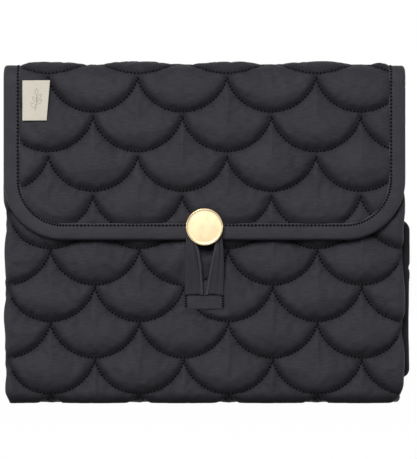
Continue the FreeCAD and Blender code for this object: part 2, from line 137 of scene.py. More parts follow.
floor_mesh = bpy.data.meshes.new("floor")
floor_corners = [(-1, -1), (1, -1), (1, 1), (-1, 1)]
floor_mesh.from_pydata(
    [(FLOOR_REACH * across, FLOOR_REACH * deep, 0) for across, deep in floor_corners],
    [], [(0, 1, 2, 3)],
)
floor = bpy.data.objects.new("floor", floor_mesh)
scene.collection.objects.link(floor)
floor_paint = bpy.data.materials.new("pale_floor")
floor_paint.use_nodes = True
floor_tree = floor_paint.node_tree
floor_tree.nodes.clear()
matt = add_node(floor_tree, "BsdfDiffuse", {"Color": FLOOR_GREY})
glow = add_node(floor_tree, "Emission", {"Color": WHITE_ROOM, "Strength": FLOOR_GLOW})
glow_share = add_node(
    floor_tree, "Math", {0: seen_directly(floor_tree), 1: FLOOR_GLOW_SHARE}, operation="MULTIPLY"
)
floor_mix = add_node(
    floor_tree, "MixShader", {0: glow_share.outputs[0], 1: matt.outputs[0], 2: glow.outputs[0]}
)
add_node(floor_tree, "OutputMaterial", {"Surface": floor_mix.outputs[0]})
floor_mesh.materials.append(floor_paint)

lens = bpy.data.cameras.new("camera")
lens.lens = LENS
lens.sensor_width = SENSOR
lens.clip_end = 20.0
camera = bpy.data.objects.new("camera", lens)
scene.collection.objects.link(camera)
camera.location = (
    VIEW_CENTRE[0], VIEW_CENTRE[1] - VIEW_HEIGHT * LENS / SENSOR, VIEW_CENTRE[2]
)
camera.rotation_euler = (math.pi / 2, 0, 0)
scene.camera = camera


# ==== Front panel and bottom fold ===============================================================
# One piece of quilted cotton satin: face fabric, padding and lining, sewn through along rows of
# scallops. It hangs from the pocket's mouth, turns under the bottom and up to a seam at the back.

half_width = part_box("front_panel_cover")[1].x
front_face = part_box("front_panel_cover")[0].y
back_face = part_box("back_panel_cover")[1].y
bottom_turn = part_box("front_panel_cover")[0].z
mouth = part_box("pocket_mouth_binding")[1].z
quilt_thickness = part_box("front_panel_lining")[1].y - front_face

SCALLOP_PITCH = 0.0577
SCALLOP_DROP = 0.022
SCALLOP_RADIUS = ((SCALLOP_PITCH / 2) ** 2 + SCALLOP_DROP**2) / (2 * SCALLOP_DROP)
SCALLOP_SPAN = math.asin(SCALLOP_PITCH / 2 / SCALLOP_RADIUS)
STITCH_PINCH = 0.0023
PUFF_HEIGHT = 0.0052
LOW_REACH = 0.0040
HIGH_REACH = 0.0085
PUCKER_HEIGHT = 0.0008
CREASE_HEIGHT = 0.00016
SAG_CELL = 0.019
PUCKER_CELL = 0.0028
DIMPLE_CELL = 0.0035
CREASE_CELL = 0.0045
# Painted shade along the sewn lines: the cloth's colour is darkened to SEAM_SHADE at a line and
# back to full over a few millimetres (SEAM_REACH).
SEAM_REACH = 0.0036
SEAM_SHADE = 0.42
WALK_STEP = 0.0001
LATTICE = 64
GRID_STEP = 0.00125
STITCH_SPACING = 0.0024
CORNER_PULL = 0.0022
SIDE_PULL = 0.0016
SIDE_WAVER = 0.0007
SIDE_REACH = 0.012
LOOP_PRESS = 0.014
PRESS_REACH = 0.0062
CREST_CALM = 0.5
CREST_REACH = 0.012
CLOTH_FRAMES = 6
CLOTH_QUALITY = 4
CLOTH_EASE = 0.02
PADDING_PRESSURE = 2.0
CLOTH_LIMIT = 0.0011
SEWN_WIDTH = 0.0009
FRONT_ROWS = {"first_row": 0.0060, "row_pitch": 0.02365, "shift": 0.0154}


def soft_noise(across, along, cell, seed):
    """Smooth noise from -1 to 1: random numbers on a square lattice, blended by a smooth step."""
    lattice = np.random.default_rng(seed).uniform(-1, 1, (LATTICE, LATTICE))
    a, b = np.asarray(across) / cell, np.asarray(along) / cell
    i, j = np.floor(a).astype(int), np.floor(b).astype(int)
    fa, fb = a - i, b - j
    fa, fb = fa * fa * (3 - 2 * fa), fb * fb * (3 - 2 * fb)
    i, j, after_i, after_j = i % LATTICE, j % LATTICE, (i + 1) % LATTICE, (j + 1) % LATTICE
    near = lattice[i, j] * (1 - fa) + lattice[after_i, j] * fa
    far = lattice[i, after_j] * (1 - fa) + lattice[after_i, after_j] * fa
    return near * (1 - fb) + far * fb


def walk(start, heading, moves):
    """A line of straight runs and round turns, as a table of length, place and heading. The
    heading is the running sum of the curvature, and the place the running sum of its direction.
    Each move is (length, radius), with radius 0 for a straight run; a turn is to the left."""
    counts = [max(1, round(length / WALK_STEP)) for length, _ in moves]
    bends = np.repeat([1 / radius if radius else 0.0 for _, radius in moves], counts)
    steps = np.repeat([length / count for (length, _), count in zip(moves, counts)], counts)
    turned = math.radians(heading) + np.concatenate([[0], np.cumsum(bends * steps)])
    middle_turn = (turned[1:] + turned[:-1]) / 2
    first = start[0] + np.concatenate([[0], np.cumsum(np.cos(middle_turn) * steps)])
    second = start[1] + np.concatenate([[0], np.cumsum(np.sin(middle_turn) * steps)])
    return np.concatenate([[0], np.cumsum(steps)]), first, second, turned


def on_walk(line, along, depth):
    """Places at a depth to the left of a walked line: the line's point, moved towards its left."""
    length, first, second, turned = line
    angle = np.interp(along, length, turned)
    return (
        np.interp(along, length, first) - np.sin(angle) * depth,
        np.interp(along, length, second) + np.cos(angle) * depth,
    )


def scallop_distances(across, up, first_row, row_pitch, shift):
    """How far a point is from the nearest sewn line below it and the nearest above it, and how
    far along that line. Each line is the lower part of a circle between two cusps, and every
    other row is moved along by half a scallop."""
    across, up = np.broadcast_arrays(across, up)
    below, above = np.full(across.shape, 1.0), np.full(across.shape, 1.0)
    run = np.zeros(across.shape)
    lowest = math.floor((np.min(up) - SCALLOP_DROP - first_row) / row_pitch) - 1
    highest = math.ceil((np.max(up) - first_row) / row_pitch) + 1
    for row in range(lowest, highest + 1):
        centre = shift + SCALLOP_PITCH / 2 * (row % 2)
        side = (across - centre + SCALLOP_PITCH / 2) % SCALLOP_PITCH - SCALLOP_PITCH / 2
        rise = up - (first_row + row * row_pitch) - SCALLOP_RADIUS
        on_arc = (rise < 0) & (np.abs(side) <= -rise * math.tan(SCALLOP_SPAN))
        to_arc = np.abs(np.hypot(side, rise) - SCALLOP_RADIUS)
        to_cusp = np.hypot(
            np.abs(side) - SCALLOP_PITCH / 2, rise + SCALLOP_RADIUS - SCALLOP_DROP
        )
        away = np.where(on_arc, to_arc, to_cusp)
        over = rise >= -np.sqrt(SCALLOP_RADIUS**2 - side**2)
        nearer = away < np.minimum(below, above)
        run = np.where(nearer, SCALLOP_RADIUS * np.arctan2(side, -rise) + 0.11 * row, run)
        below = np.where(over, np.minimum(below, away), below)
        above = np.where(over, above, np.minimum(above, away))
    return below, above, run


def puff(across, up, rows, seed):
    """Height of the padding about its mean: pinched down at each sewn line, rising steeply above
    a line and gently below the next, as padding sags, with puckers square to the line that fade
    away from it and faint creases all over."""
    below, above, run = scallop_distances(across, up, **rows)
    away = np.minimum(below, above)
    rise = (1 - np.exp(-((below / LOW_REACH) ** 1.35))) * (
        1 - np.exp(-((above / HIGH_REACH) ** 1.1))
    )
    sag = soft_noise(across, up, SAG_CELL, seed + 2)
    pucker = soft_noise(run, away * 0.35, PUCKER_CELL, seed)
    pucker += 0.5 * soft_noise(across, up, DIMPLE_CELL, seed + 1)
    crease = soft_noise(across + 0.4 * up, up * 0.3, CREASE_CELL, seed + 3)
    return (
        -STITCH_PINCH + PUFF_HEIGHT * rise * (1 + 0.10 * sag)
        + PUCKER_HEIGHT * pucker * np.exp(-away / 0.0035) * np.minimum(1, away / 0.0012)
        + CREASE_HEIGHT * crease * np.minimum(1, away / 0.004)
    )


def painted_seam_shade(across, up, rows):
    """Painted shade along the sewn lines, where the grooves fall in shade: 1 at a sewn line, fading
    over a few millimetres above it and sooner below it, as bell curves of the two distances."""
    below, above = scallop_distances(across, up, **rows)[:2]
    return np.maximum(
        np.exp(-((below / SEAM_REACH) ** 2)), 0.55 * np.exp(-((above / (SEAM_REACH / 2)) ** 2))
    )


def edge_spacing(low, high, step, radii):
    """Places from low to high, a step apart, and closer together where an edge rounds over."""
    near, far = radii
    bend = np.linspace(0, math.pi / 2, 7)
    first = low + near * (1 - np.cos(bend))
    last = high - far * (1 - np.cos(bend[::-1]))
    count = max(2, round((high - far - low - near) / step))
    inner = np.linspace(low + near, high - far, count + 1)[1:-1]
    return np.concatenate([first, inner, last])


def add_object(name, points, faces, flat_map=None, smooth=True):
    """A mesh object from arrays: its points, its faces, and a map of the fabric laid flat."""
    mesh = bpy.data.meshes.new(name)
    if isinstance(faces, np.ndarray):
        faces = faces.tolist()
    mesh.from_pydata(np.asarray(points).tolist(), [], faces)
    if flat_map is not None:
        layer = mesh.uv_layers.new(name="flat")
        corners = np.empty(len(mesh.loops), np.int32)
        mesh.loops.foreach_get("vertex_index", corners)
        layer.data.foreach_set("uv", np.asarray(flat_map, np.float32)[corners].ravel())
    mesh.polygons.foreach_set("use_smooth", np.full(len(mesh.polygons), smooth))
    mesh.update()
    piece = bpy.data.objects.new(name, mesh)
    scene.collection.objects.link(piece)
    return piece


def grid_faces(rows, columns, numbers):
    """The squares of a grid of numbered points."""
    table = numbers.reshape(rows, columns)
    return np.stack([
        table[:-1, :-1], table[:-1, 1:], table[1:, 1:], table[1:, :-1]
    ], axis=-1).reshape(-1, 4)


def settle_cloth(points, held, limit):
    """The face fabric as simulated cloth: cut a little larger than the surface it covers, pushed
    out by the padding and held at its sewn lines and edges. Each point moves at most the limit."""
    rows, columns = points.shape[:2]
    numbers = np.arange(rows * columns)
    faces = grid_faces(rows, columns, numbers)[:, ::-1]
    trial = add_object("face_fabric", points.reshape(-1, 3), faces)
    sewn_down = trial.vertex_groups.new(name="sewn_down")
    sewn_down.add(numbers[held.ravel()].tolist(), 1.0, "REPLACE")
    cloth = trial.modifiers.new("fabric", "CLOTH")
    cloth.settings.vertex_group_mass = "sewn_down"
    cloth.settings.quality = CLOTH_QUALITY
    cloth.settings.mass = 0.3
    cloth.settings.tension_stiffness = 12.0
    cloth.settings.compression_stiffness = 12.0
    cloth.settings.shear_stiffness = 4.0
    cloth.settings.bending_stiffness = 0.4
    cloth.settings.effector_weights.gravity = 0.0
    cloth.settings.use_pressure = True
    cloth.settings.uniform_pressure_force = PADDING_PRESSURE
    cloth.settings.shrink_min = -CLOTH_EASE
    cloth.collision_settings.use_collision = False
    cloth.collision_settings.use_self_collision = False
    cloth.point_cache.frame_start = 1
    cloth.point_cache.frame_end = CLOTH_FRAMES
    for frame_number in range(1, CLOTH_FRAMES + 1):
        scene.frame_set(frame_number)
    settled = trial.evaluated_get(bpy.context.evaluated_depsgraph_get()).data
    place = np.empty(len(settled.vertices) * 3, np.float32)
    settled.vertices.foreach_get("co", place)
    bpy.data.objects.remove(trial)
    scene.frame_set(1)
    moved = place.reshape(points.shape) - points
    size = np.linalg.norm(moved, axis=-1, keepdims=True)
    return points + moved * np.minimum(1, limit / np.maximum(size, 1e-9))


def padded_shell(name, across, along, outside, inside, seam=None):
    """A closed padded panel: an outer and an inner grid that share the points of their border.
    Both are arrays of points, a row for each place along and a column across. Its faces are
    turned outward, so that the volume they enclose is a positive sum. Seam is the painted shade
    along the sewn lines at each point, from 0 to 1, and the colour is darkened by it."""
    rows, columns = outside.shape[:2]
    count = rows * columns
    outer = np.arange(count)
    border = np.zeros((rows, columns), bool)
    border[0], border[-1], border[:, 0], border[:, -1] = True, True, True, True
    border = border.ravel()
    inner = np.where(border, outer, outer + count)
    faces = np.concatenate([
        grid_faces(rows, columns, outer)[:, ::-1], grid_faces(rows, columns, inner)
    ])
    points = np.concatenate([outside.reshape(-1, 3), inside.reshape(-1, 3)])
    first, second, third, fourth = points[faces].transpose(1, 0, 2)
    if np.sum(first * (np.cross(second, third) + np.cross(third, fourth))) < 0:
        faces = faces[:, ::-1]
    flat = np.stack([across.ravel(), along.ravel()], axis=1)
    flat = np.concatenate([flat, flat + 0.37])
    used, numbers = np.unique(faces, return_inverse=True)
    piece = add_object(name, points[used], numbers.reshape(-1, 4), flat[used])
    if seam is not None:
        layer = piece.data.attributes.new("seam", "FLOAT", "POINT")
        layer.data.foreach_set("value", np.tile(seam.ravel(), 2)[used])
    return piece


def rounded(distance, radius):
    """0 at an edge and 1 a radius away from it, along a quarter circle."""
    share = np.clip(distance / radius, 0, 1)
    return np.sqrt(np.maximum(0, 1 - (1 - share) ** 2))


def cloth_surface(points, columns, rows, width_at=None):
    """A function that gives the place on a grid of points across and along the cloth, by
    weighing the four grid points round it. Where the cloth narrows, width_at gives its width."""
    def surface(across, along):
        share = across if width_at is None else across / width_at(along)
        column = np.clip(np.searchsorted(columns, share) - 1, 0, len(columns) - 2)
        row = np.clip(np.searchsorted(rows, along) - 1, 0, len(rows) - 2)
        u = (share - columns[column]) / (columns[column + 1] - columns[column])
        v = (along - rows[row]) / (rows[row + 1] - rows[row])
        u, v = u[:, None], v[:, None]
        return (
            points[row, column] * (1 - u) * (1 - v) + points[row, column + 1] * u * (1 - v)
            + points[row + 1, column] * (1 - u) * v + points[row + 1, column + 1] * u * v
        )
    return surface


def panel_place(line):
    """Turns places across, along and below the face into points, for a walk seen from the side."""
    def place(across, along, depth):
        deep, up = on_walk(line, along, depth)
        return np.stack([across + 0 * deep, deep, up], axis=-1)
    return place


quarter = math.pi / 2
pouch_line = walk((front_face, mouth), -90, [
    (mouth - bottom_turn, 0),
    (quarter * bottom_turn, bottom_turn),
    (back_face - front_face - 2 * bottom_turn, 0),
    (quarter * bottom_turn, bottom_turn),
    (mouth, 0),
])
place_on_pouch = panel_place(pouch_line)
BACK_SEAM = 0.014
front_length = (
    mouth - bottom_turn + 2 * quarter * bottom_turn
    + back_face - front_face - 2 * bottom_turn + BACK_SEAM - bottom_turn
)
SIDE_ROUND = 0.0042
MOUTH_TUCK = 0.003
across, along = np.meshgrid(
    edge_spacing(-half_width, half_width, GRID_STEP, (SIDE_ROUND, SIDE_ROUND)),
    edge_spacing(MOUTH_TUCK, front_length, GRID_STEP, (0.003, 0.0012)),
)
up = mouth - along
body = np.minimum(
    rounded(half_width - np.abs(across), SIDE_ROUND),
    np.minimum(rounded(along - MOUTH_TUCK, 0.003), rounded(front_length - along, 0.0012)),
)
under_binding = 0.72 + 0.28 * rounded(along - 0.007, 0.006)
height = puff(across, up, FRONT_ROWS, 11)
# The tab is sewn through the quilt and presses its padding flat, and less so just above it.
sewn_low, sewn_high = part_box("loop_anchor_tab")
beside = np.maximum(0, np.abs(across) - sewn_high.x)
past = np.maximum(np.maximum(sewn_low.z - up, 0), (up - sewn_high.z - LOOP_PRESS) * 0.8)
height *= 1 - np.exp(-((np.hypot(beside, np.maximum(0, past)) / PRESS_REACH) ** 2))
hem = np.minimum(*scallop_distances(across, up, **FRONT_ROWS)[:2])
near_side = np.clip((np.abs(across) - half_width + SIDE_REACH) / SIDE_REACH, 0, 1)
pull = near_side * (
    SIDE_PULL * np.exp(-((hem / 0.004) ** 2)) + SIDE_WAVER * soft_noise(up, 0 * up, 0.014, 17)
)
low_down = place_on_pouch(0 * across, along, 0)[..., 2]
pull += CORNER_PULL * np.exp(-((low_down / 0.0040) ** 2)) * np.abs(across / half_width) ** 8
shown_across = across - np.sign(across) * pull
half_thick = quilt_thickness / 2
front_face_grid = place_on_pouch(
    shown_across, along, half_thick - (half_thick + height) * body * under_binding
)
front_face_grid = settle_cloth(
    front_face_grid, (hem < SEWN_WIDTH) | (body < 0.97) | (along < 0.012), CLOTH_LIMIT
)
front_face_grid[..., 2] = np.maximum(0, front_face_grid[..., 2])
front_surface = cloth_surface(front_face_grid, across[0], along[:, 0])
front_quilt = padded_shell(
    "front_quilt", across, along, front_face_grid,
    place_on_pouch(
        shown_across, along,
        half_thick + (half_thick + 0.4 * height - 0.0004) * body * under_binding,
    ),
    painted_seam_shade(across, up, FRONT_ROWS),
)


def new_paint(name):
    """A material, its node tree and the shader that gives its surface."""
    paint = bpy.data.materials.new(name)
    paint.use_nodes = True
    return paint, paint.node_tree, paint.node_tree.nodes["Principled BSDF"]


def thread_bumps(tree, vector, thread, strength, distance):
    """Raised warp and weft: two sets of fine waves at right angles, the larger of the two."""
    waves = [
        add_node(
            tree, "TexWave",
            {"Scale": 2 * math.pi / 20 / thread, "Distortion": 0.6, "Detail": 1.0,
             "Vector": vector},
            bands_direction=direction,
        ).outputs["Fac"]
        for direction in ("X", "Y")
    ]
    weave = add_node(tree, "Math", dict(enumerate(waves)), operation="MAXIMUM")
    return add_node(
        tree, "Bump", {"Strength": strength, "Distance": distance, "Height": weave.outputs[0]}
    )


def fabric(name, colour, shade, roughness, thread, strength):
    """Woven cloth: a colour that drifts towards a shade in soft patches and single threads, a
    woven bump, roughness that drifts with it, and a faint sheen. The colour is multiplied by
    painted shade: a darkening that grows along the sewn lines, where the grooves fall in shade,
    and in the lowest millimetres above the floor, where the bottom fold turns from the light."""
    paint, tree, shader = new_paint(name)
    where = add_node(tree, "TexCoord").outputs["UV"]
    patches = add_node(
        tree, "TexNoise", {"Scale": 38.0, "Detail": 5.0, "Roughness": 0.62, "Vector": where}
    )
    stretch = add_node(tree, "Mapping", {"Scale": (160.0, 1900.0, 900.0), "Vector": where})
    slubs = add_node(
        tree, "TexNoise", {"Scale": 1.0, "Detail": 2.0, "Vector": stretch.outputs[0]}
    )
    share = add_node(tree, "Math", {0: patches.outputs["Fac"], 1: 0.5}, operation="MULTIPLY")
    blend = add_node(
        tree, "Math", {0: slubs.outputs["Fac"], 1: 0.7, 2: share.outputs[0]},
        operation="MULTIPLY_ADD",
    )
    ramp = add_node(tree, "ValToRGB", {"Fac": blend.outputs[0]})
    for element, position, tone in zip(ramp.color_ramp.elements, (0.3, 0.85), (shade, colour)):
        element.position, element.color = position, (*tone, 1)
    height = add_node(tree, "SeparateXYZ", {0: add_node(tree, "TexCoord").outputs["Object"]})
    # Painted shade towards the floor, by height.
    foot_shade = add_node(
        tree, "MapRange",
        {"From Max": FOOT_HEIGHT, "To Min": FOOT_SHADE, "Value": height.outputs["Z"]},
        interpolation_type="SMOOTHSTEP",
    )
    # Painted shade along the sewn lines, read from the seam attribute.
    seam = add_node(tree, "Attribute", attribute_name="seam")
    seam_shade = add_node(
        tree, "MapRange", {"To Min": 1.0, "To Max": SEAM_SHADE, "Value": seam.outputs["Fac"]}
    )
    painted_shade = add_node(
        tree, "Math", {0: foot_shade.outputs[0], 1: seam_shade.outputs[0]}, operation="MULTIPLY"
    )
    shaded = add_node(
        tree, "VectorMath", {0: ramp.outputs["Color"], "Scale": painted_shade.outputs[0]},
        operation="SCALE",
    )
    rough = add_node(
        tree, "MapRange",
        {"To Min": roughness - 0.07, "To Max": roughness + 0.07,
         "Value": patches.outputs["Fac"]},
    )
    bump = thread_bumps(tree, where, thread, strength, thread * 0.5)
    crumple = add_node(
        tree, "TexNoise", {"Scale": 330.0, "Detail": 4.0, "Roughness": 0.6, "Vector": where}
    )
    crease = add_node(
        tree, "Bump",
        {"Strength": 0.5, "Distance": 0.00035, "Height": crumple.outputs["Fac"],
         "Normal": bump.outputs[0]},
    )
    fine = add_node(
        tree, "Bump",
        {"Strength": 0.25, "Distance": 0.0004, "Height": slubs.outputs["Fac"],
         "Normal": crease.outputs[0]},
    )
    set_inputs(tree, shader, {
        "Base Color": shaded.outputs[0], "Roughness": rough.outputs[0],
        "Normal": fine.outputs[0], "Sheen Weight": 0.01, "Sheen Roughness": 0.5,
        "Specular IOR Level": 0.04,
    })
    return paint


# Painted shade: over the lowest FOOT_HEIGHT the cloth's colour falls smoothly to FOOT_SHADE of
# itself at the floor, where the bottom fold turns away from the light.
FOOT_HEIGHT = 0.010
FOOT_SHADE = 0.3
CHARCOAL = (0.052, 0.0505, 0.060)
CHARCOAL_SHADE = (0.023, 0.0225, 0.0275)
quilt_satin = fabric("quilt_satin", CHARCOAL, CHARCOAL_SHADE, 0.5, 0.00042, 0.12)
front_quilt.data.materials.append(quilt_satin)
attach(front_quilt, "pouch")
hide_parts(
    "front_panel_cover", "front_panel_wadding", "front_panel_lining",
    "bottom_fold_cover", "bottom_fold_wadding", "bottom_fold_lining",
)


# ==== Sewn lines ================================================================================
# Polyester thread in a long straight stitch, pulled tight into the padding. Each stitch is a
# short bead of thread, and the shade in the needle's hole at its end is painted as a dark dot.

STITCH_LENGTH = 0.0013
THREAD_RADIUS = 0.0003
HOLE_RADIUS = 0.00086
HOLE_FLATNESS = 0.35
THREAD_LIFT = 0.00018
SLOPE_REACH = 0.0011


def plain_matt(name, colour, roughness):
    """Thread, or the painted shade of a needle hole: one colour that drifts a little, and a fine
    twisted bump.
    """
    paint, tree, shader = new_paint(name)
    where = add_node(tree, "TexCoord").outputs["Object"]
    grain = add_node(tree, "TexNoise", {"Scale": 2500.0, "Vector": where}).outputs["Fac"]
    ramp = add_node(tree, "ValToRGB", {"Fac": grain})
    ramp.color_ramp.elements[0].color = (*[0.7 * part for part in colour], 1)
    ramp.color_ramp.elements[1].color = (*colour, 1)
    bump = add_node(tree, "Bump", {"Strength": 0.3, "Distance": 0.0001, "Height": grain})
    set_inputs(tree, shader, {
        "Base Color": ramp.outputs["Color"], "Normal": bump.outputs[0],
        "Roughness": roughness, "Specular IOR Level": 0.08,
    })
    return paint


thread_black = plain_matt("thread_charcoal", (0.026, 0.0255, 0.030), 0.7)
# Painted highlight: a light grey for the beads along the binding's inner edge, where that edge
# catches the light.
edge_highlight_grey = plain_matt("thread_grey", (0.115, 0.113, 0.122), 0.5)
# Painted shade: a near-black for the dots that stand in for the shade inside the needle holes.
hole_painted_shade = plain_matt("needle_hole_painted_shade", (0.005, 0.005, 0.006), 0.95)


def bead(radius, length, sides, rings):
    """A short rounded rod along the first axis: rings whose size follows half an ellipse, closed
    at both ends by a point."""
    turn = np.linspace(0, 2 * math.pi, sides, endpoint=False)
    steps = np.linspace(-1, 1, rings + 2)[1:-1]
    size = radius * (1 - np.abs(steps) ** 3) ** 0.5
    points = np.concatenate([
        [(-length / 2, 0, 0)],
        np.stack([
            np.repeat(steps * length / 2, sides),
            (size[:, None] * np.cos(turn)).ravel(),
            (size[:, None] * np.sin(turn)).ravel(),
        ], axis=1),
        [(length / 2, 0, 0)],
    ])
    loop = np.arange(sides)
    following = (loop + 1) % sides
    last = len(points) - 1
    faces = [np.stack([0 * loop, 1 + following, 1 + loop], axis=1)]
    for ring in range(rings - 1):
        low, high = 1 + ring * sides, 1 + (ring + 1) * sides
        faces.append(np.stack([low + loop, low + following, high + following], axis=1))
        faces.append(np.stack([low + loop, high + following, high + loop], axis=1))
    high = 1 + (rings - 1) * sides
    faces.append(np.stack([high + loop, high + following, 0 * loop + last], axis=1))
    return points, np.concatenate(faces)


def scatter(name, shape, places, ahead, outward, paint):
    """Copies of one small shape, each turned to run ahead and to stand outward at its place."""
    points, faces = shape
    sideways = np.cross(outward, ahead)
    turned = (
        places[:, None, :]
        + points[None, :, 0:1] * ahead[:, None, :]
        + points[None, :, 1:2] * sideways[:, None, :]
        + points[None, :, 2:3] * outward[:, None, :]
    )
    numbered = faces[None] + (np.arange(len(places)) * len(points))[:, None, None]
    piece = add_object(name, turned.reshape(-1, 3), numbered.reshape(-1, 3))
    piece.data.materials.append(paint)
    return piece


def unit(vectors):
    """Vectors divided by their own lengths."""
    return vectors / np.linalg.norm(vectors, axis=-1, keepdims=True)


def sewn(name, surface, across, along, next_across, next_along, facing=1):
    """A line of stitches and the painted shade of its needle holes, as dark beads. Each stitch lies
    on the surface at its own place, in the direction of the place a stitch further on. Facing is -1
    where along runs upwards."""
    here = surface(across, along)
    ahead = unit(surface(next_across, next_along) - here)
    side = surface(across + SLOPE_REACH, along) - surface(across - SLOPE_REACH, along)
    down = surface(across, along + SLOPE_REACH) - surface(across, along - SLOPE_REACH)
    outward = facing * unit(np.cross(down, side))
    outward = unit(outward - ahead * np.sum(outward * ahead, axis=1, keepdims=True))
    line = scatter(
        name, bead(THREAD_RADIUS, STITCH_LENGTH, 5, 3),
        here + outward * THREAD_LIFT, ahead, outward, thread_black,
    )
    hole_points, hole_faces = bead(HOLE_RADIUS, HOLE_RADIUS * 1.7, 6, 2)
    holes = scatter(
        f"{name}_holes", (hole_points * (1, 1, HOLE_FLATNESS), hole_faces),
        here + ahead * STITCH_SPACING / 2 + outward * THREAD_LIFT, ahead, outward, hole_painted_shade,
    )
    return line, holes


def scallop_stitches(rows, up_range, across_range):
    """Places of the stitches along every scallop in a range, and the place a stitch further on:
    points at equal angles along each circle's lower part."""
    angles = np.arange(-SCALLOP_SPAN, SCALLOP_SPAN, STITCH_SPACING / SCALLOP_RADIUS)
    pitch, first = rows["row_pitch"], rows["first_row"]
    here, beyond = [], []
    lowest = math.floor((up_range[0] - 0.03 - first) / pitch)
    for row in range(lowest, math.ceil((up_range[1] - first) / pitch) + 1):
        start = rows["shift"] + SCALLOP_PITCH / 2 * (row % 2)
        count = math.ceil((across_range[1] - across_range[0]) / SCALLOP_PITCH) + 2
        centres = start + SCALLOP_PITCH * np.arange(-count, count + 1)
        for found, shift in ((here, 0), (beyond, STITCH_SPACING / 2 / SCALLOP_RADIUS)):
            turn = angles + shift
            side = centres[:, None] + SCALLOP_RADIUS * np.sin(turn)
            rise = first + row * pitch + SCALLOP_RADIUS * (1 - np.cos(turn)) + 0 * centres[:, None]
            found.append(np.stack([side.ravel(), rise.ravel()], axis=1))
    places, ahead = np.concatenate(here), np.concatenate(beyond)
    inside = (
        (places[:, 0] > across_range[0]) & (places[:, 0] < across_range[1])
        & (places[:, 1] > up_range[0]) & (places[:, 1] < up_range[1])
    )
    return places[inside], ahead[inside]


def sewn_into(pieces, carry):
    """Thread and needle holes go where the cloth they are in is carried."""
    for piece in pieces:
        carry(piece)


def with_pouch(piece):
    """Carried by the pouch."""
    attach(piece, "pouch")


places, ahead = scallop_stitches(
    FRONT_ROWS, (mouth - front_length + 0.002, mouth - 0.010),
    (-half_width + 0.003, half_width - 0.003),
)
sewn_into(sewn(
    "front_stitches", front_surface, places[:, 0], mouth - places[:, 1],
    ahead[:, 0], mouth - ahead[:, 1],
), with_pouch)


# ==== Back panel ================================================================================
# The same quilted fabric, from the seam low on the back, up and over the top fold to the middle
# of the spine. It is stitched to the front piece at its lower edge and its sides are turned in.

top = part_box("top_spine_cover")[1].z
flap_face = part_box("flap_cover")[0].y
flap_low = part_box("flap_binding")[0].z
top_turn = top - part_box("flap_binding")[1].z
spine_middle = (back_face + flap_face) / 2
half_spine = (back_face - flap_face) / 2 - top_turn
BACK_SEAM_TUCK = 0.0005
BINDING_WIDTH = 0.0105
QUILT_INSET = 0.0045
SEAM_ROUND = 0.0010
OUTER_ROWS = {"first_row": 0.1377, "row_pitch": 0.0256, "shift": -0.0144}
OUTER_SEED = 37
back_rise = top - top_turn - BACK_SEAM
back_line = walk((back_face, BACK_SEAM), 90, [
    (back_rise, 0), (quarter * top_turn, top_turn), (half_spine + 0.01, 0),
])
place_on_back = panel_place(back_line)
back_length = back_rise + quarter * top_turn + half_spine
crest_up = top - top_turn + quarter * top_turn + half_spine
quilt_half = half_width - QUILT_INSET


def back_up(along):
    """The outer quilt is one length of fabric: up the flap's face, over the spine and on down the
    back, so its rows of scallops are counted from the flap's lower edge."""
    return crest_up + back_length - along


def squeeze(edge_distance):
    """How full the padding is near a bound edge: pressed thin within the binding, then rising."""
    return 0.5 * rounded(edge_distance, 0.004) + 0.5 * rounded(
        edge_distance - (BINDING_WIDTH - QUILT_INSET - 0.0005), 0.0065
    )


def free_swell(edge_distance):
    """How much of the sewn relief shows: none within the binding, all of it well inside."""
    return rounded(edge_distance - (BINDING_WIDTH - QUILT_INSET - 0.0005), 0.006)


across, along = np.meshgrid(
    edge_spacing(-quilt_half, quilt_half, GRID_STEP, (0.003, 0.003)),
    edge_spacing(0, back_length, GRID_STEP, (SEAM_ROUND, SEAM_ROUND)),
)
height = puff(across, back_up(along), OUTER_ROWS, OUTER_SEED)
body = np.minimum(
    squeeze(quilt_half - np.abs(across)),
    np.minimum(rounded(along, SEAM_ROUND), rounded(back_length - along, SEAM_ROUND)),
)
swell_share = free_swell(quilt_half - np.abs(across))
crest = 1 - CREST_CALM * np.exp(-((np.maximum(0, back_rise - along) / CREST_REACH) ** 2))
swell = height * swell_share * crest * body
back_face_grid = place_on_back(across, along, half_thick - half_thick * body - swell)
hem = np.minimum(*scallop_distances(across, back_up(along), **OUTER_ROWS)[:2])
back_face_grid = settle_cloth(
    back_face_grid, (hem < SEWN_WIDTH) | (swell_share < 0.97) | (body < 0.97), CLOTH_LIMIT
)
back_surface = cloth_surface(back_face_grid, across[0], along[:, 0])
back_quilt = padded_shell(
    "back_quilt", across, along, back_face_grid,
    place_on_back(across, along, half_thick + (half_thick - 0.0004) * body + 0.4 * swell),
    painted_seam_shade(across, back_up(along), OUTER_ROWS),
)
back_quilt.data.materials.append(quilt_satin)


def over_back_fold(piece):
    """Lies over the back fold, from the back panel to the spine; its transform is baked into its
    points.
    """
    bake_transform(piece)


over_back_fold(back_quilt)
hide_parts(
    "back_panel_cover", "back_panel_wadding", "back_panel_lining",
    "top_spine_cover", "top_spine_wadding", "top_spine_lining",
)


places, ahead = scallop_stitches(
    OUTER_ROWS, (crest_up + 0.001, crest_up + back_length - 0.002),
    (-half_width + BINDING_WIDTH, half_width - BINDING_WIDTH),
)
sewn_into(sewn(
    "back_stitches", back_surface, places[:, 0], back_up(places[:, 1]),
    ahead[:, 0], back_up(ahead[:, 1]),
), over_back_fold)


# ==== Flap ======================================================================================
# Quilted like the rest, with round lower corners. It runs from the middle of the spine, over the
# front fold and down the front, and its squeezed edge is inside the binding.

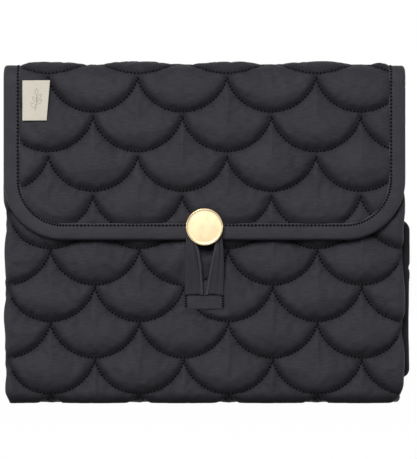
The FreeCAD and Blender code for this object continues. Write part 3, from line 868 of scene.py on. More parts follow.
CORNER_RADIUS = 0.039
flap_line = walk((spine_middle + 0.01, top), 180, [
    (half_spine + 0.01, 0), (quarter * top_turn, top_turn), (top - top_turn - flap_low, 0),
])
place_on_flap = panel_place(flap_line)
flap_start = 0.01
flap_fold_end = flap_start + half_spine + quarter * top_turn
flap_length = flap_fold_end + top - top_turn - flap_low
flap_up = flap_length + flap_low


def flap_half_width(along, inset):
    """Half the flap's width at a place down its length: full width, then in along the corner's
    circle to the flat lower edge."""
    corner = CORNER_RADIUS - inset
    below = np.clip(along - (flap_length - CORNER_RADIUS), 0, corner)
    return half_width - inset - corner + np.sqrt(np.maximum(0, corner**2 - below**2))


def flap_edge_distance(across, along, inset):
    """How far inside the flap's outline a point is: straight to a side or to the lower edge, and
    along the radius within a corner."""
    corner = CORNER_RADIUS - inset
    side = half_width - inset - np.abs(across)
    below = flap_length - inset - along
    in_corner = (side < corner) & (below < corner)
    round_distance = corner - np.hypot(corner - side, corner - below)
    return np.where(in_corner, round_distance, np.minimum(side, below))


label_low, label_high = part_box("label_ribbon")
LABEL_PRESS = 0.55
LABEL_PRESS_REACH = 0.009
BUTTON_PRESS = 0.0085
BUTTON_PRESS_REACH = 0.0045
pressed_up = sum(corner.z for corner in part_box("button_cap")) / 2


def label_press(across, along):
    """How much of the swell is left beside the label, whose sewn edge presses the padding down:
    a soft hollow round that edge."""
    beside = np.maximum(0, np.abs(across - label_low.x) - 0.002)
    past = np.maximum(
        0, np.abs(flap_up - along - (label_low.z + label_high.z) / 2)
        - (label_high.z - label_low.z) / 2
    )
    return 1 - LABEL_PRESS * np.exp(-((np.hypot(beside, past) / LABEL_PRESS_REACH) ** 2))


share = edge_spacing(-1, 1, GRID_STEP / quilt_half, (0.03, 0.03))
rows_along = edge_spacing(flap_start, flap_length - QUILT_INSET, GRID_STEP, (SEAM_ROUND, 0.003))
width_here = flap_half_width(rows_along, QUILT_INSET)
across = share[None, :] * width_here[:, None]
along = np.repeat(rows_along[:, None], len(share), axis=1)
inside_edge = flap_edge_distance(across, along, QUILT_INSET)
body = np.minimum(squeeze(inside_edge), rounded(along - flap_start, SEAM_ROUND))
height = puff(across, flap_up - along, OUTER_ROWS, OUTER_SEED)
from_button = np.hypot(across, flap_up - along - pressed_up)
button_press = 1 - np.exp(
    -((np.maximum(0, from_button - BUTTON_PRESS) / BUTTON_PRESS_REACH) ** 2)
)
swell_share = free_swell(inside_edge) * label_press(across, along) * button_press
crest = 1 - CREST_CALM * np.exp(-((np.maximum(0, along - flap_fold_end) / CREST_REACH) ** 2))
swell = height * swell_share * crest * body
flap_face_grid = place_on_flap(across, along, half_thick - half_thick * body - swell)
hem = np.minimum(*scallop_distances(across, flap_up - along, **OUTER_ROWS)[:2])
flap_face_grid = settle_cloth(
    flap_face_grid, (hem < SEWN_WIDTH) | (free_swell(inside_edge) < 0.97) | (body < 0.97),
    CLOTH_LIMIT,
)
flap_surface = cloth_surface(
    flap_face_grid, share, rows_along, lambda along: flap_half_width(along, QUILT_INSET)
)
flap_quilt = padded_shell(
    "flap_quilt", across, along, flap_face_grid,
    place_on_flap(across, along, half_thick + (half_thick - 0.0006) * body + 0.4 * swell),
    painted_seam_shade(across, flap_up - along, OUTER_ROWS),
)
flap_quilt.data.materials.append(quilt_satin)


def over_front_fold(piece):
    """Lies over the front fold, from the spine to the flap; its transform is baked into its points.
    """
    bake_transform(piece)


over_front_fold(flap_quilt)
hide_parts("flap_cover", "flap_wadding", "flap_lining")


places, ahead = scallop_stitches(
    OUTER_ROWS, (flap_low + BINDING_WIDTH, flap_up - flap_start), (-half_width, half_width)
)
along_here = flap_up - places[:, 1]
clear = flap_edge_distance(places[:, 0], along_here, 0) > BINDING_WIDTH + 0.001
places, ahead, along_here = places[clear], ahead[clear], along_here[clear]
sewn_into(sewn(
    "flap_stitches", flap_surface, places[:, 0], along_here, ahead[:, 0], flap_up - ahead[:, 1]
), over_front_fold)


# ==== Flap binding ==============================================================================
# A bias strip of the same satin, folded over the flap's cut edge and topstitched along its inner
# edge. It runs from the spine down one side, round the corners and up the other side.

binding_half = 0.0026
NOSE_REACH = 0.0022
STRIP_CREASE = 0.00013
STRIP_DRIFT = 0.0004


def flap_outline(run):
    """Places across and along the flap's edge, with the direction out of it, from a length run
    along the edge: left side, corner, lower edge, corner, right side."""
    side = flap_length - CORNER_RADIUS - flap_start
    turn = quarter * CORNER_RADIUS
    flat = 2 * (half_width - CORNER_RADIUS)
    left_turn = np.clip(run - side, 0, turn) / CORNER_RADIUS
    right_turn = np.clip(run - side - turn - flat, 0, turn) / CORNER_RADIUS
    angle = left_turn + right_turn
    out_across, out_along = -np.cos(angle), np.sin(angle)
    straight_down = np.clip(run, 0, side)
    straight_across = np.clip(run - side - turn, 0, flat)
    straight_up = np.clip(run - side - 2 * turn - flat, 0, side)
    across = -half_width + CORNER_RADIUS + straight_across + CORNER_RADIUS * out_across
    along = flap_start + straight_down + CORNER_RADIUS * out_along - straight_up
    return across, along, out_across, out_along, 2 * side + 2 * turn + flat


def binding_section(width, half, points=9):
    """Profile of a folded strip, as places inward from the edge and depths: up the back leg,
    round the nose as half an ellipse, and down the front leg."""
    nose = np.linspace(math.pi / 2, -math.pi / 2, points)
    inward = [width + 0.0002, width, width - 0.0004, width * 0.75, width * 0.5]
    swell = [0.6, 0.86, 1.0, 1.06, 1.08]
    back = [(place, half * much) for place, much in zip(inward, swell)]
    front = [(place, -half * much) for place, much in zip(inward[::-1], swell[::-1])]
    turn = [
        (NOSE_REACH * (1 - math.cos(angle)), half * 1.06 * math.sin(angle)) for angle in nose
    ]
    return np.array(back + turn + front)


def swept_binding(name, outline, length, section, place, middle_depth, seed, step=0.0016):
    """A section carried along an outline, with small creases across it and a slightly uneven
    width, closed at both ends."""
    run = np.linspace(0, length, max(2, round(length / step)) + 1)
    across, along, out_across, out_along = outline(run)[:4]
    inward, depth = section[:, 0], section[:, 1]
    crease = soft_noise(run, 0 * run, 0.0055, seed)[:, None] * STRIP_CREASE
    drift = soft_noise(run, 0 * run + 5, 0.03, seed)[:, None] * STRIP_DRIFT
    inward = inward[None, :] + drift * (inward[None, :] / inward.max())
    deep = middle_depth + depth[None, :] * (1 + crease / binding_half)
    points = place(
        across[:, None] - out_across[:, None] * inward,
        along[:, None] - out_along[:, None] * inward, deep,
    )
    rows, columns = points.shape[:2]
    numbers = np.arange(rows * columns).reshape(rows, columns)
    wrapped = np.concatenate([numbers, numbers[:, :1]], axis=1)
    faces = grid_faces(rows, columns + 1, wrapped)[:, [0, 3, 2, 1]].tolist()
    faces += [numbers[0].tolist(), numbers[-1][::-1].tolist()]
    around = np.concatenate([[0], np.cumsum(np.hypot(*np.diff(section, axis=0).T))])
    flat = np.stack([
        np.repeat(run[:, None], columns, axis=1).ravel(), np.tile(around, rows)
    ], axis=1)
    return add_mixed(name, points.reshape(-1, 3), faces, flat)


def add_mixed(name, points, faces, flat_map):
    """A mesh object whose faces have different numbers of corners, with its normals outward."""
    piece = add_object(name, points, faces, flat_map)
    work = bmesh.new()
    work.from_mesh(piece.data)
    bmesh.ops.recalc_face_normals(work, faces=work.faces)
    work.to_mesh(piece.data)
    work.free()
    piece.data.update()
    return piece


binding_satin = fabric(
    "binding_satin", (0.056, 0.055, 0.063), (0.032, 0.031, 0.037), 0.42, 0.00038, 0.1
)
binding_run = flap_outline(np.array([0.0]))[4]
flap_binding = swept_binding(
    "flap_edge_binding", flap_outline, binding_run, binding_section(BINDING_WIDTH, binding_half),
    place_on_flap, half_thick, 51,
)
flap_binding.data.materials.append(binding_satin)
over_front_fold(flap_binding)
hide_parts("flap_binding")

TOPSTITCH_INSET = 0.0011
EDGE_BEAD = 0.0022


def topstitch_places(inset, spacing):
    """Places along a line a fixed way inside the flap's outline, at equal runs."""
    run = np.arange(0.002, binding_run - 0.002, spacing)
    across, along, out_across, out_along = flap_outline(run)[:4]
    return across - out_across * inset, along - out_along * inset


def binding_front(across, along):
    """Places on the front of the folded strip, just clear of it."""
    return place_on_flap(across, along, half_thick - binding_half * 1.03)


# A low raised edge of beads along the binding's inner edge: the raised edge is real, its light grey
# colour is a painted highlight.
edge_across, edge_along = topstitch_places(BINDING_WIDTH + 0.0001, EDGE_BEAD * 0.9)
edge_places = place_on_flap(edge_across, edge_along, half_thick - binding_half * 0.9)
edge_ahead = unit(np.gradient(edge_places, axis=0))
edge_out = place_on_flap(edge_across, edge_along, half_thick - 0.01) - place_on_flap(
    edge_across, edge_along, half_thick
)
edge_line = scatter(
    "binding_edge_highlight", bead(0.00024, EDGE_BEAD, 6, 3), edge_places, edge_ahead, unit(edge_out),
    edge_highlight_grey,
)
sewn_into([edge_line], over_front_fold)

stitch_across, stitch_along = topstitch_places(BINDING_WIDTH - TOPSTITCH_INSET, STITCH_SPACING)
next_across = np.append(stitch_across[1:], 2 * stitch_across[-1] - stitch_across[-2])
next_along = np.append(stitch_along[1:], 2 * stitch_along[-1] - stitch_along[-2])
sewn_into(sewn(
    "binding_topstitch", binding_front, stitch_across, stitch_along, next_across, next_along
), over_front_fold)


# ==== Side binding of the spine and back ========================================================
# The flap's satin binding carries on over the top fold and down both sides of the back, to the
# seam low on the back. It holds the cut edges of the outer quilt.

back_run = back_length - BACK_SEAM_TUCK


def back_outline(side):
    """Places along one side of the back, with the direction out of it, from a length run down
    from the middle of the spine."""
    def outline(run):
        along = back_length - run
        return side * half_width + 0 * run, along, side + 0 * run, 0 * run
    return outline


for side, name in ((-1, "left_back_binding"), (1, "right_back_binding")):
    strip = swept_binding(
        name, back_outline(side), back_run, binding_section(BINDING_WIDTH, binding_half),
        place_on_back, half_thick, 53 + side,
    )
    strip.data.materials.append(binding_satin)
    over_back_fold(strip)
    down = np.arange(0.002, back_run - 0.002, STITCH_SPACING)
    inset = side * (half_width - BINDING_WIDTH + TOPSTITCH_INSET) + 0 * down
    sewn_into(sewn(
        f"{name}_topstitch",
        lambda across, along: place_on_back(across, along, half_thick - binding_half * 1.03),
        inset, back_length - down, inset, back_length - down - STITCH_SPACING / 2,
    ), over_back_fold)


# ==== Pocket mouth binding ======================================================================
# A satin strip folded over the front panel's top edge, under the flap, and topstitched.

mouth_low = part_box("pocket_mouth_binding")[0].z
mouth_half = (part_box("pocket_mouth_binding")[1].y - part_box("pocket_mouth_binding")[0].y) / 2


def mouth_outline(run):
    """Places along the front panel's top edge, whose outside is up."""
    return run - half_width + 0.0006, 0 * run, 0 * run, 0 * run - 1


mouth_length = 2 * (half_width - 0.0006)
mouth_binding = swept_binding(
    "mouth_binding", mouth_outline, mouth_length,
    binding_section(mouth - mouth_low + 0.0012, mouth_half), place_on_pouch, half_thick, 61,
)
mouth_binding.data.materials.append(binding_satin)
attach(mouth_binding, "pouch")
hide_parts("pocket_mouth_binding")
stitch_run = np.arange(0.003, mouth_length - 0.003, STITCH_SPACING) - half_width
stitch_down = mouth - mouth_low + 0.0012 - TOPSTITCH_INSET + 0 * stitch_run
sewn_into(sewn(
    "mouth_topstitch",
    lambda across, along: place_on_pouch(across, along, half_thick - mouth_half * 1.03),
    stitch_run, stitch_down, stitch_run + STITCH_SPACING / 2, stitch_down,
), with_pouch)


# ==== Closed left side ==========================================================================
# A strip of the quilt's own satin that joins the front and back panels down the left side. It is
# seamed at both long edges and folds slightly inwards along its middle.

GUSSET_TUCK = 0.0018
gusset_low, gusset_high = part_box("left_side_gusset")
GUSSET_EDGE = 0.0015
GUSSET_HALF = 0.0011
gusset_low.z -= GUSSET_TUCK
gusset_reach = gusset_high.y + 0.0014
GUSSET_BOW = 0.0021
GUSSET_PUCKER = 0.00045


def soft_edges(across, along, half, tall, radii):
    """How full a flat strip is: the least of how far it has rounded over at its two sides, at its
    foot and at its top, with a radius for each of the three."""
    side, foot, head = radii
    return np.minimum(
        rounded(half - np.abs(across), side),
        np.minimum(rounded(along, foot), rounded(tall - along, head)),
    )


def place_on_gusset(across, along, depth):
    """Across is from front to back and along is up; depth goes inwards from the outer face."""
    return np.stack([gusset_low.x + depth, across + 0 * depth, gusset_low.z + along], axis=-1)


gusset_tall = gusset_high.z - gusset_low.z
across, along = np.meshgrid(
    edge_spacing(-gusset_reach, gusset_reach, 0.0011, (GUSSET_EDGE, GUSSET_EDGE)),
    edge_spacing(0, gusset_tall, 0.0014, (GUSSET_EDGE, GUSSET_EDGE)),
)
side_share = across / gusset_reach
body = soft_edges(across, along, gusset_reach, gusset_tall, [GUSSET_EDGE] * 3)
bow = GUSSET_BOW * (1 - side_share**2) ** 1.5 + 0.0006
ripple = GUSSET_PUCKER * soft_noise(across * 0.25, along, 0.0038, 71) * np.abs(side_share) ** 2
drape = 0.0005 * soft_noise(across * 0.5, along, 0.03, 72)
mean_depth = bow + ripple + drape + 0.0012
side_gusset = padded_shell(
    "side_gusset", across, along,
    place_on_gusset(across, along, mean_depth - GUSSET_HALF * body),
    place_on_gusset(across, along, mean_depth + GUSSET_HALF * body),
)
side_gusset.data.materials.append(quilt_satin)
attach(side_gusset, "pouch")
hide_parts("left_side_gusset")


# ==== Slip pocket inside the front ==============================================================
# A plain pocket of lining cloth sewn to the inside of the front panel along three sides. Elastic
# in its hem gathers the top edge.

pocket_low, pocket_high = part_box("slip_pocket_panel")
elastic_low, elastic_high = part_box("slip_pocket_elastic")
GATHER_PITCH = 0.0062
GATHER_DEPTH = 0.00055
POCKET_CLOTH = 0.0007
pocket_half = pocket_high.x
pocket_tall = pocket_high.z - pocket_low.z


def gathers(across, share):
    """Waves across the cloth that grow from nothing at the foot to their full depth at the hem."""
    uneven = across + 0.0016 * soft_noise(across, 0 * across, 0.013, 81)
    return GATHER_DEPTH * share**2 * np.sin(2 * math.pi * uneven / GATHER_PITCH)


def place_in_pocket(across, along, depth):
    """Across is to the right and along is up; depth goes forwards from the cloth's inner face."""
    return np.stack([across, pocket_high.y - depth, pocket_low.z + along], axis=-1)


across, along = np.meshgrid(
    np.linspace(-pocket_half, pocket_half, 171), np.linspace(0, pocket_tall, 61)
)
middle_depth = (pocket_high.y - pocket_low.y) / 2 + 0.0006 + gathers(across, along / pocket_tall)
slip_pocket = padded_shell(
    "slip_pocket", across, along,
    place_in_pocket(across, along, middle_depth - POCKET_CLOTH / 2)[:, ::-1],
    place_in_pocket(across, along, middle_depth + POCKET_CLOTH / 2)[:, ::-1],
)
lining_cotton = fabric(
    "lining_cotton", (0.046, 0.045, 0.050), (0.036, 0.035, 0.040), 0.8, 0.0005, 0.25
)
slip_pocket.data.materials.append(lining_cotton)
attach(slip_pocket, "pouch")
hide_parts("slip_pocket_panel")

hem_tall = elastic_high.z - elastic_low.z
across, along = np.meshgrid(
    np.linspace(-pocket_half, pocket_half, 341), edge_spacing(0, hem_tall, 0.0009, (0.0009, 0.0009))
)
hem_round = np.minimum(rounded(along, 0.0009), rounded(hem_tall - along, 0.0009))
hem_wave = gathers(across, 1.0) + 0.0002 * np.cos(2 * math.pi * across / 0.0031)
hem_middle = (elastic_high.y - elastic_low.y) / 2
pocket_hem = padded_shell(
    "pocket_elastic_hem", across, along,
    place_in_pocket(
        across, along + pocket_tall,
        pocket_high.y - elastic_high.y + hem_middle + hem_wave - 0.0009 * hem_round,
    )[:, ::-1],
    place_in_pocket(
        across, along + pocket_tall,
        pocket_high.y - elastic_high.y + hem_middle + hem_wave * 0.5 + 0.0007 * hem_round,
    )[:, ::-1],
)
elastic_braid = fabric(
    "elastic_braid", (0.034, 0.033, 0.037), (0.022, 0.021, 0.025), 0.6, 0.0006, 0.5
)
pocket_hem.data.materials.append(elastic_braid)
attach(pocket_hem, "pouch")
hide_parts("slip_pocket_elastic")


# ==== Changing mat ==============================================================================
# A thin padded mat, folded in three, that slides out at the right. Two tall leaves lie at the
# back with their fold at the right; a low leaf folds forward from the left, and its bound edge
# stands out past the front panel.

leaf_low, leaf_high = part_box("mat_back_leaf")
middle_low, middle_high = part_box("mat_middle_leaf")
front_leaf_low, front_leaf_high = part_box("mat_front_leaf")
mat_edge_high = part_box("mat_edge_binding")[1]
leaf_thickness = middle_high.y - middle_low.y
leaf_length = leaf_high.x - leaf_low.x
MAT_ROWS = {"first_row": 0.018, "row_pitch": 0.02365, "shift": 0.004}
MAT_RELIEF = 0.34
MAT_BINDING_WIDTH = 0.0095
MAT_INSET = 0.004
MAT_PINCH = 0.0004


def mat_place(line):
    """Turns places across and along a leaf into points, for a walk seen from above."""
    def place(across, along, depth):
        first, second = on_walk(line, across, depth)
        return np.stack([first, second, along + 0 * first], axis=-1)
    return place


def mat_leaf(name, place, length, low, high, seed):
    """A padded strip with a shallow relief, squeezed thin inside the binding at its edges."""
    across, along = np.meshgrid(
        edge_spacing(MAT_INSET, length - MAT_INSET, 0.0016, (0.002, 0.002)),
        edge_spacing(low + MAT_INSET, high - MAT_INSET, 0.0016, (0.002, 0.002)),
    )
    edge = np.minimum(
        np.minimum(across, length - across), np.minimum(along - low, high - along)
    )
    squeezed = 0.5 * rounded(edge - MAT_INSET, 0.002) + 0.5 * rounded(
        edge - MAT_BINDING_WIDTH + 0.001, 0.004
    )
    height = MAT_RELIEF * puff(across, along, MAT_ROWS, seed) - MAT_PINCH
    half = leaf_thickness / 2
    face_grid = place(across, along, half - (half + height) * squeezed)
    surface = cloth_surface(face_grid, across[0], along[:, 0])
    piece = padded_shell(
        name, across, along, face_grid,
        place(across, along, half + (half - 0.0006 + 0.3 * height) * squeezed),
    )
    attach(piece, "mat")
    places, ahead = scallop_stitches(
        MAT_ROWS, (low + MAT_BINDING_WIDTH, high - MAT_BINDING_WIDTH),
        (MAT_BINDING_WIDTH, length - MAT_BINDING_WIDTH),
    )
    sewn_into(sewn(
        f"{name}_stitches", surface, places[:, 0], places[:, 1], ahead[:, 0], ahead[:, 1], -1
    ), lambda thread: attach(thread, "mat"))
    return piece


tall_line = walk((middle_low.x, middle_low.y), 0, [
    (leaf_length, 0), (math.pi * leaf_thickness, leaf_thickness), (leaf_length, 0)
])
tall_length = 2 * leaf_length + math.pi * leaf_thickness
tall_place = mat_place(tall_line)
low_fold_length = math.pi * leaf_thickness
front_reach = mat_edge_high.x - middle_low.x
low_line = walk((middle_low.x, middle_high.y), 180, [
    (low_fold_length, leaf_thickness), (front_reach, 0)
])
low_length = low_fold_length + front_reach
low_place = mat_place(low_line)
mat_satin = fabric("mat_satin", CHARCOAL, CHARCOAL_SHADE, 0.55, 0.00042, 0.12)
tall_leaves = mat_leaf("mat_tall_leaves", tall_place, tall_length, leaf_low.z, leaf_high.z, 91)
tall_leaves.data.materials.append(mat_satin)
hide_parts("mat_back_leaf", "mat_middle_leaf", "mat_right_fold")
low_leaf = mat_leaf(
    "mat_low_leaf", low_place, low_length, front_leaf_low.z, front_leaf_high.z, 93
)
low_leaf.data.materials.append(mat_satin)
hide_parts("mat_front_leaf", "mat_left_fold")


def mat_outline(length, low, high, corner):
    """A path round a leaf's bound edges: along its lower edge, round a corner, up its free edge,
    round a corner and back along its upper edge."""
    flat = length - corner
    turn = quarter * corner
    tall = high - low - 2 * corner

    def outline(run):
        first = np.clip(run - flat, 0, turn) / corner
        second = np.clip(run - flat - turn - tall, 0, turn) / corner
        angle = first + second
        out_across, out_up = np.sin(angle), -np.cos(angle)
        across = (
            np.clip(run, 0, flat) + corner * out_across
            - np.clip(run - flat - 2 * turn - tall, 0, flat)
        )
        up = low + corner + np.clip(run - flat - turn, 0, tall) + corner * out_up
        waver = MAT_WAVER * soft_noise(up, 0 * up, 0.011, 96) - MAT_NOTCH * np.exp(
            -(((up - MAT_NOTCH_UP) / 0.0022) ** 2)
        )
        return across + out_across * waver, up, out_across, out_up
    return outline, 2 * flat + 2 * turn + tall


MAT_CORNER = 0.006
MAT_WAVER = 0.0009
MAT_NOTCH = 0.0013
MAT_NOTCH_UP = 0.088
low_outline, low_run = mat_outline(
    low_length, front_leaf_low.z, front_leaf_high.z, MAT_CORNER
)
mat_half = leaf_thickness / 2
low_binding = swept_binding(
    "mat_edge_strip", low_outline, low_run, binding_section(MAT_BINDING_WIDTH, mat_half * 0.97),
    low_place, mat_half, 95,
)
# Painted shade: the mat's binding is the binding satin at about half its brightness, as it lies in
# shade behind the front panel and inside the pouch.
mat_binding_painted_shade = fabric(
    "mat_binding_painted_shade", (0.027, 0.0265, 0.030), (0.017, 0.0165, 0.019), 0.5, 0.00038, 0.1
)
low_binding.data.materials.append(mat_binding_painted_shade)
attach(low_binding, "mat")
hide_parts("mat_edge_binding")

for name, height_up, out_up in (
    ("mat_top_strip", leaf_high.z, 1.0), ("mat_foot_strip", leaf_low.z, -1.0)
):
    strip = swept_binding(
        name, lambda run: (run, height_up + 0 * run, 0 * run, out_up + 0 * run), tall_length,
        binding_section(MAT_BINDING_WIDTH, mat_half * 0.94), tall_place, mat_half, 97,
    )
    strip.data.materials.append(mat_binding_painted_shade)
    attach(strip, "mat")


# ==== Loop tab ==================================================================================
# A short end of folded satin on the front panel that covers the loop's raw ends. A dense row of
# zigzag stitches holds it and the loop at its upper edge.

tab_low, tab_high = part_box("loop_anchor_tab")
bar_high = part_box("loop_bar_stitch")[1]
tab_half = (tab_high.x - tab_low.x) / 2
tab_centre = (tab_high.x + tab_low.x) / 2
tab_tall = bar_high.z - tab_low.z
TAB_RIDGES = (-0.0027, -0.0004, 0.0024)
RIDGE_WIDTH = 0.0006
TAB_SINK = 0.0014


def tab_front(across, along):
    """The tab's face: flat, with rounded edges and a low ridge over each cord end beneath it."""
    ridges = sum(
        np.exp(-(((across - place) / RIDGE_WIDTH) ** 2)) for place in TAB_RIDGES
    )
    wave = 0.00018 * soft_noise(across, along, 0.004, 101)
    return 0.00028 * ridges + wave


def place_on_tab(across, along, depth):
    """Across is to the right and along is up; depth goes back from the tab's face."""
    return np.stack([
        tab_centre + across, tab_low.y + TAB_SINK + depth + 0 * across,
        tab_low.z + along + 0 * across,
    ], axis=-1)


across, along = np.meshgrid(
    edge_spacing(-tab_half, tab_half, 0.0004, (0.0008, 0.0008)),
    edge_spacing(0, tab_tall, 0.0004, (0.0009, 0.0006)),
)
body = soft_edges(across, along, tab_half, tab_tall, (0.0008, 0.0009, 0.0006))
tab_middle = (tab_high.y - tab_low.y) / 2
loop_tab = padded_shell(
    "loop_tab", across, along,
    place_on_tab(across, along, tab_middle - (tab_middle + tab_front(across, along)) * body),
    place_on_tab(across, along, tab_middle + 0.0018 * body),
)
loop_tab.data.materials.append(binding_satin)
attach(loop_tab, "pouch")
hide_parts("loop_anchor_tab")

ZIGZAG_PITCH = 0.0011
zig_count = round(2 * (tab_half - 0.0006) / ZIGZAG_PITCH)
zig_across = np.linspace(-tab_half + 0.0006, tab_half - 0.0006, 2 * zig_count)
zig_up = tab_tall - 0.0007 + 0.0004 * (-1.0) ** np.arange(2 * zig_count)


def stitch_chain(name, corners, length):
    """A thread from corner to corner: one bead in the middle of each two, turned to the next."""
    ahead = unit(corners[1:] - corners[:-1])
    return scatter(
        name, bead(0.00024, length, 6, 3), (corners[1:] + corners[:-1]) / 2, ahead,
        np.zeros_like(ahead) + (0, -1, 0), thread_black,
    )


zigzag = stitch_chain("tab_zigzag", place_on_tab(zig_across, zig_up, -0.0002), 0.0012)
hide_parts("loop_bar_stitch")
TACK_CENTRE = -0.0046
tack_across = np.linspace(-0.0016, 0.0016, 12) + TACK_CENTRE
tack_up = tab_tall + 0.0013 + 0.0006 * (-1.0) ** np.arange(12)
bar_tack = stitch_chain("tab_bar_tack", place_on_tab(tack_across, tack_up, -0.0009), 0.0015)
sewn_into([zigzag, bar_tack], with_pouch)
side_up = np.arange(0.001, tab_tall - 0.001, 0.0016)
for side, name in ((-1, "tab_left_stitches"), (1, "tab_right_stitches")):
    side_across = side * (tab_half - 0.0011) + 0 * side_up
    sewn_into(sewn(
        name, lambda across, along: place_on_tab(across, along, -0.00012),
        side_across, side_up, side_across, side_up + 0.0008, -1,
    ), with_pouch)


# ==== Closing loop ==============================================================================
# A satin tape folded lengthwise round elastic, both ends under the tab. Its two legs lean out
# from the front panel, draw together and pass behind the button's cap.

tape_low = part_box("closure_loop_tape")[0]
button_low, button_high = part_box("button_cap")
button_x = (button_low.x + button_high.x) / 2
button_z = (button_low.z + button_high.z) / 2
loop_foot = tape_low.z - 0.0006
leg_bend = 0.1035
foot_y = tab_low.y + 0.0010
cap_y = (flap_face + button_high.y) / 2


def smooth_route(knots, count):
    """A smooth line through given knots: piecewise cubic with each knot's slope taken from
    its two neighbours."""
    knots = np.array(knots, float)
    spaces = np.linalg.norm(np.diff(knots[:, :2], axis=0), axis=1)
    spans = np.concatenate([[0], np.cumsum(spaces)])
    slopes = np.gradient(knots, spans, axis=0)
    run = np.linspace(0, spans[-1], count)
    index = np.clip(np.searchsorted(spans, run, side="right") - 1, 0, len(spans) - 2)
    gap = (spans[index + 1] - spans[index])[:, None]
    share = (run[:, None] - spans[index][:, None]) / gap
    return (
        (2 * share**3 - 3 * share**2 + 1) * knots[index]
        + (share**3 - 2 * share**2 + share) * gap * slopes[index]
        + (3 * share**2 - 2 * share**3) * knots[index + 1]
        + (share**3 - share**2) * gap * slopes[index + 1]
    )


# Across, up and width of the tape, from the left foot over the button to the right foot.
TAPE_ROUTE = (
    (-0.0072, 0.0000, 0.0112), (-0.0078, 0.0100, 0.0104), (-0.0084, 0.0210, 0.0088),
    (-0.0090, 0.0320, 0.0068), (-0.0082, 0.0410, 0.0048), (-0.0048, 0.0480, 0.0036),
    (0.0000, 0.0500, 0.0034), (0.0048, 0.0480, 0.0036), (0.0084, 0.0410, 0.0044),
    (0.0094, 0.0320, 0.0052), (0.0090, 0.0210, 0.0072), (0.0078, 0.0100, 0.0094),
    (0.0068, 0.0000, 0.0112),
)
# Across and up of the elastic's cord, along the inner edges of the tape.
CORD_ROUTE = (
    (-0.0016, 0.0000, 0), (-0.0020, 0.0090, 0), (-0.0030, 0.0200, 0), (-0.0045, 0.0290, 0),
    (-0.0066, 0.0350, 0), (-0.0064, 0.0430, 0), (-0.0030, 0.0485, 0), (0.0010, 0.0490, 0),
    (0.0058, 0.0455, 0), (0.0080, 0.0385, 0), (0.0072, 0.0310, 0), (0.0052, 0.0210, 0),
    (0.0032, 0.0100, 0), (0.0016, 0.0000, 0),
)


def loop_depth(up):
    """How far forward the loop lies: from the tab's face out to behind the cap, smoothly."""
    share = np.clip(up / (leg_bend - loop_foot), 0, 1)
    return foot_y + (cap_y - foot_y) * (share * share * (3 - 2 * share) * 0.45 + share * 0.55)


tape = smooth_route(TAPE_ROUTE, 161)
tape_ahead = unit(np.gradient(tape[:, :2], axis=0))
tape_side = np.stack([tape_ahead[:, 1], -tape_ahead[:, 0]], axis=1)
share = np.linspace(-1, 1, 25)
across = tape[:, 0:1] + tape_side[:, 0:1] * tape[:, 2:3] / 2 * share
up = tape[:, 1:2] + tape_side[:, 1:2] * tape[:, 2:3] / 2 * share
run = np.linspace(0, 1, len(tape))[:, None] + 0 * share
crumple = np.clip((0.012 - tape[:, 2:3]) / 0.008, 0, 1)
pleats = (
    0.00045 * np.cos(share * (4.2 + 1.5 * np.sin(3.1 * run)) + 2.2 * run)
    + 0.00025 * np.cos(share * 9.0 - 5 * run)
) * (0.35 + 0.6 * crumple)
half = 0.00055 * np.sqrt(np.maximum(0, 1 - np.abs(share) ** 6)) + 0 * run
middle_y = loop_depth(up) + pleats
end_pinch = np.ones_like(run)
end_pinch[0], end_pinch[-1] = 0, 0
half[:, 0], half[:, -1] = 0, 0
tape_front = np.stack([button_x + across, middle_y - half * end_pinch, loop_foot + up], axis=-1)
tape_back = np.stack([button_x + across, middle_y + half * end_pinch, loop_foot + up], axis=-1)
loop_tape = padded_shell(
    "loop_tape", run * 0.13, 0.004 * (1 + share) + 0 * run,
    tape_front, tape_back,
)
loop_tape.data.materials.append(binding_satin)
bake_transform(loop_tape)
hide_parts("closure_loop_tape")

CORD_RADIUS = 0.00085
STRAND_LAY = 0.0034


def tube(name, centres, radius, sides, strands, lay):
    """A round cord of twisted strands: rings round a line of centres, whose radius has a low
    bump for each strand that turns with the length along the cord; closed at both ends."""
    ahead = unit(np.gradient(centres, axis=0))
    outward = unit(np.cross(ahead, np.zeros_like(ahead) + (0, 1, 0)))
    other = np.cross(ahead, outward)
    turn = np.linspace(0, 2 * math.pi, sides, endpoint=False)
    run = np.concatenate([[0], np.cumsum(np.linalg.norm(np.diff(centres, axis=0), axis=1))])
    bump = 1 + 0.09 * np.cos(strands * turn[None, :] + 2 * math.pi * run[:, None] / lay)
    size = radius * bump
    points = (
        centres[:, None] + outward[:, None] * (size * np.cos(turn))[..., None]
        + other[:, None] * (size * np.sin(turn))[..., None]
    )
    rings = len(centres)
    numbers = np.arange(rings * sides).reshape(rings, sides)
    wrapped = np.concatenate([numbers, numbers[:, :1]], axis=1)
    faces = grid_faces(rings, sides + 1, wrapped).tolist()
    faces += [numbers[0][::-1].tolist(), numbers[-1].tolist()]
    flat = np.stack([np.repeat(run, sides), np.tile(turn * radius, rings)], axis=1)
    return add_mixed(name, points.reshape(-1, 3), faces, flat)


cord = smooth_route(CORD_ROUTE, 260)
cord_forward = 0.0006 * np.clip(1 - cord[:, 1] / (leg_bend - loop_foot), 0, 1)
cord_centres = np.stack([
    button_x + cord[:, 0], loop_depth(cord[:, 1]) - cord_forward, loop_foot + cord[:, 1]
], axis=1)
loop_cord = tube("loop_elastic_cord", cord_centres, CORD_RADIUS, 14, 3, STRAND_LAY)
# Painted highlight: the cord is real, but its satin is lighter than the tape's to stand in for the
# light lines along its edges.
cord_highlight_satin = fabric("cord_highlight_satin", (0.085, 0.083, 0.092), (0.045, 0.044, 0.050), 0.45, 0.0005, 0.3)
loop_cord.data.materials.append(cord_highlight_satin)
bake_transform(loop_cord)
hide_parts("closure_loop_elastic")


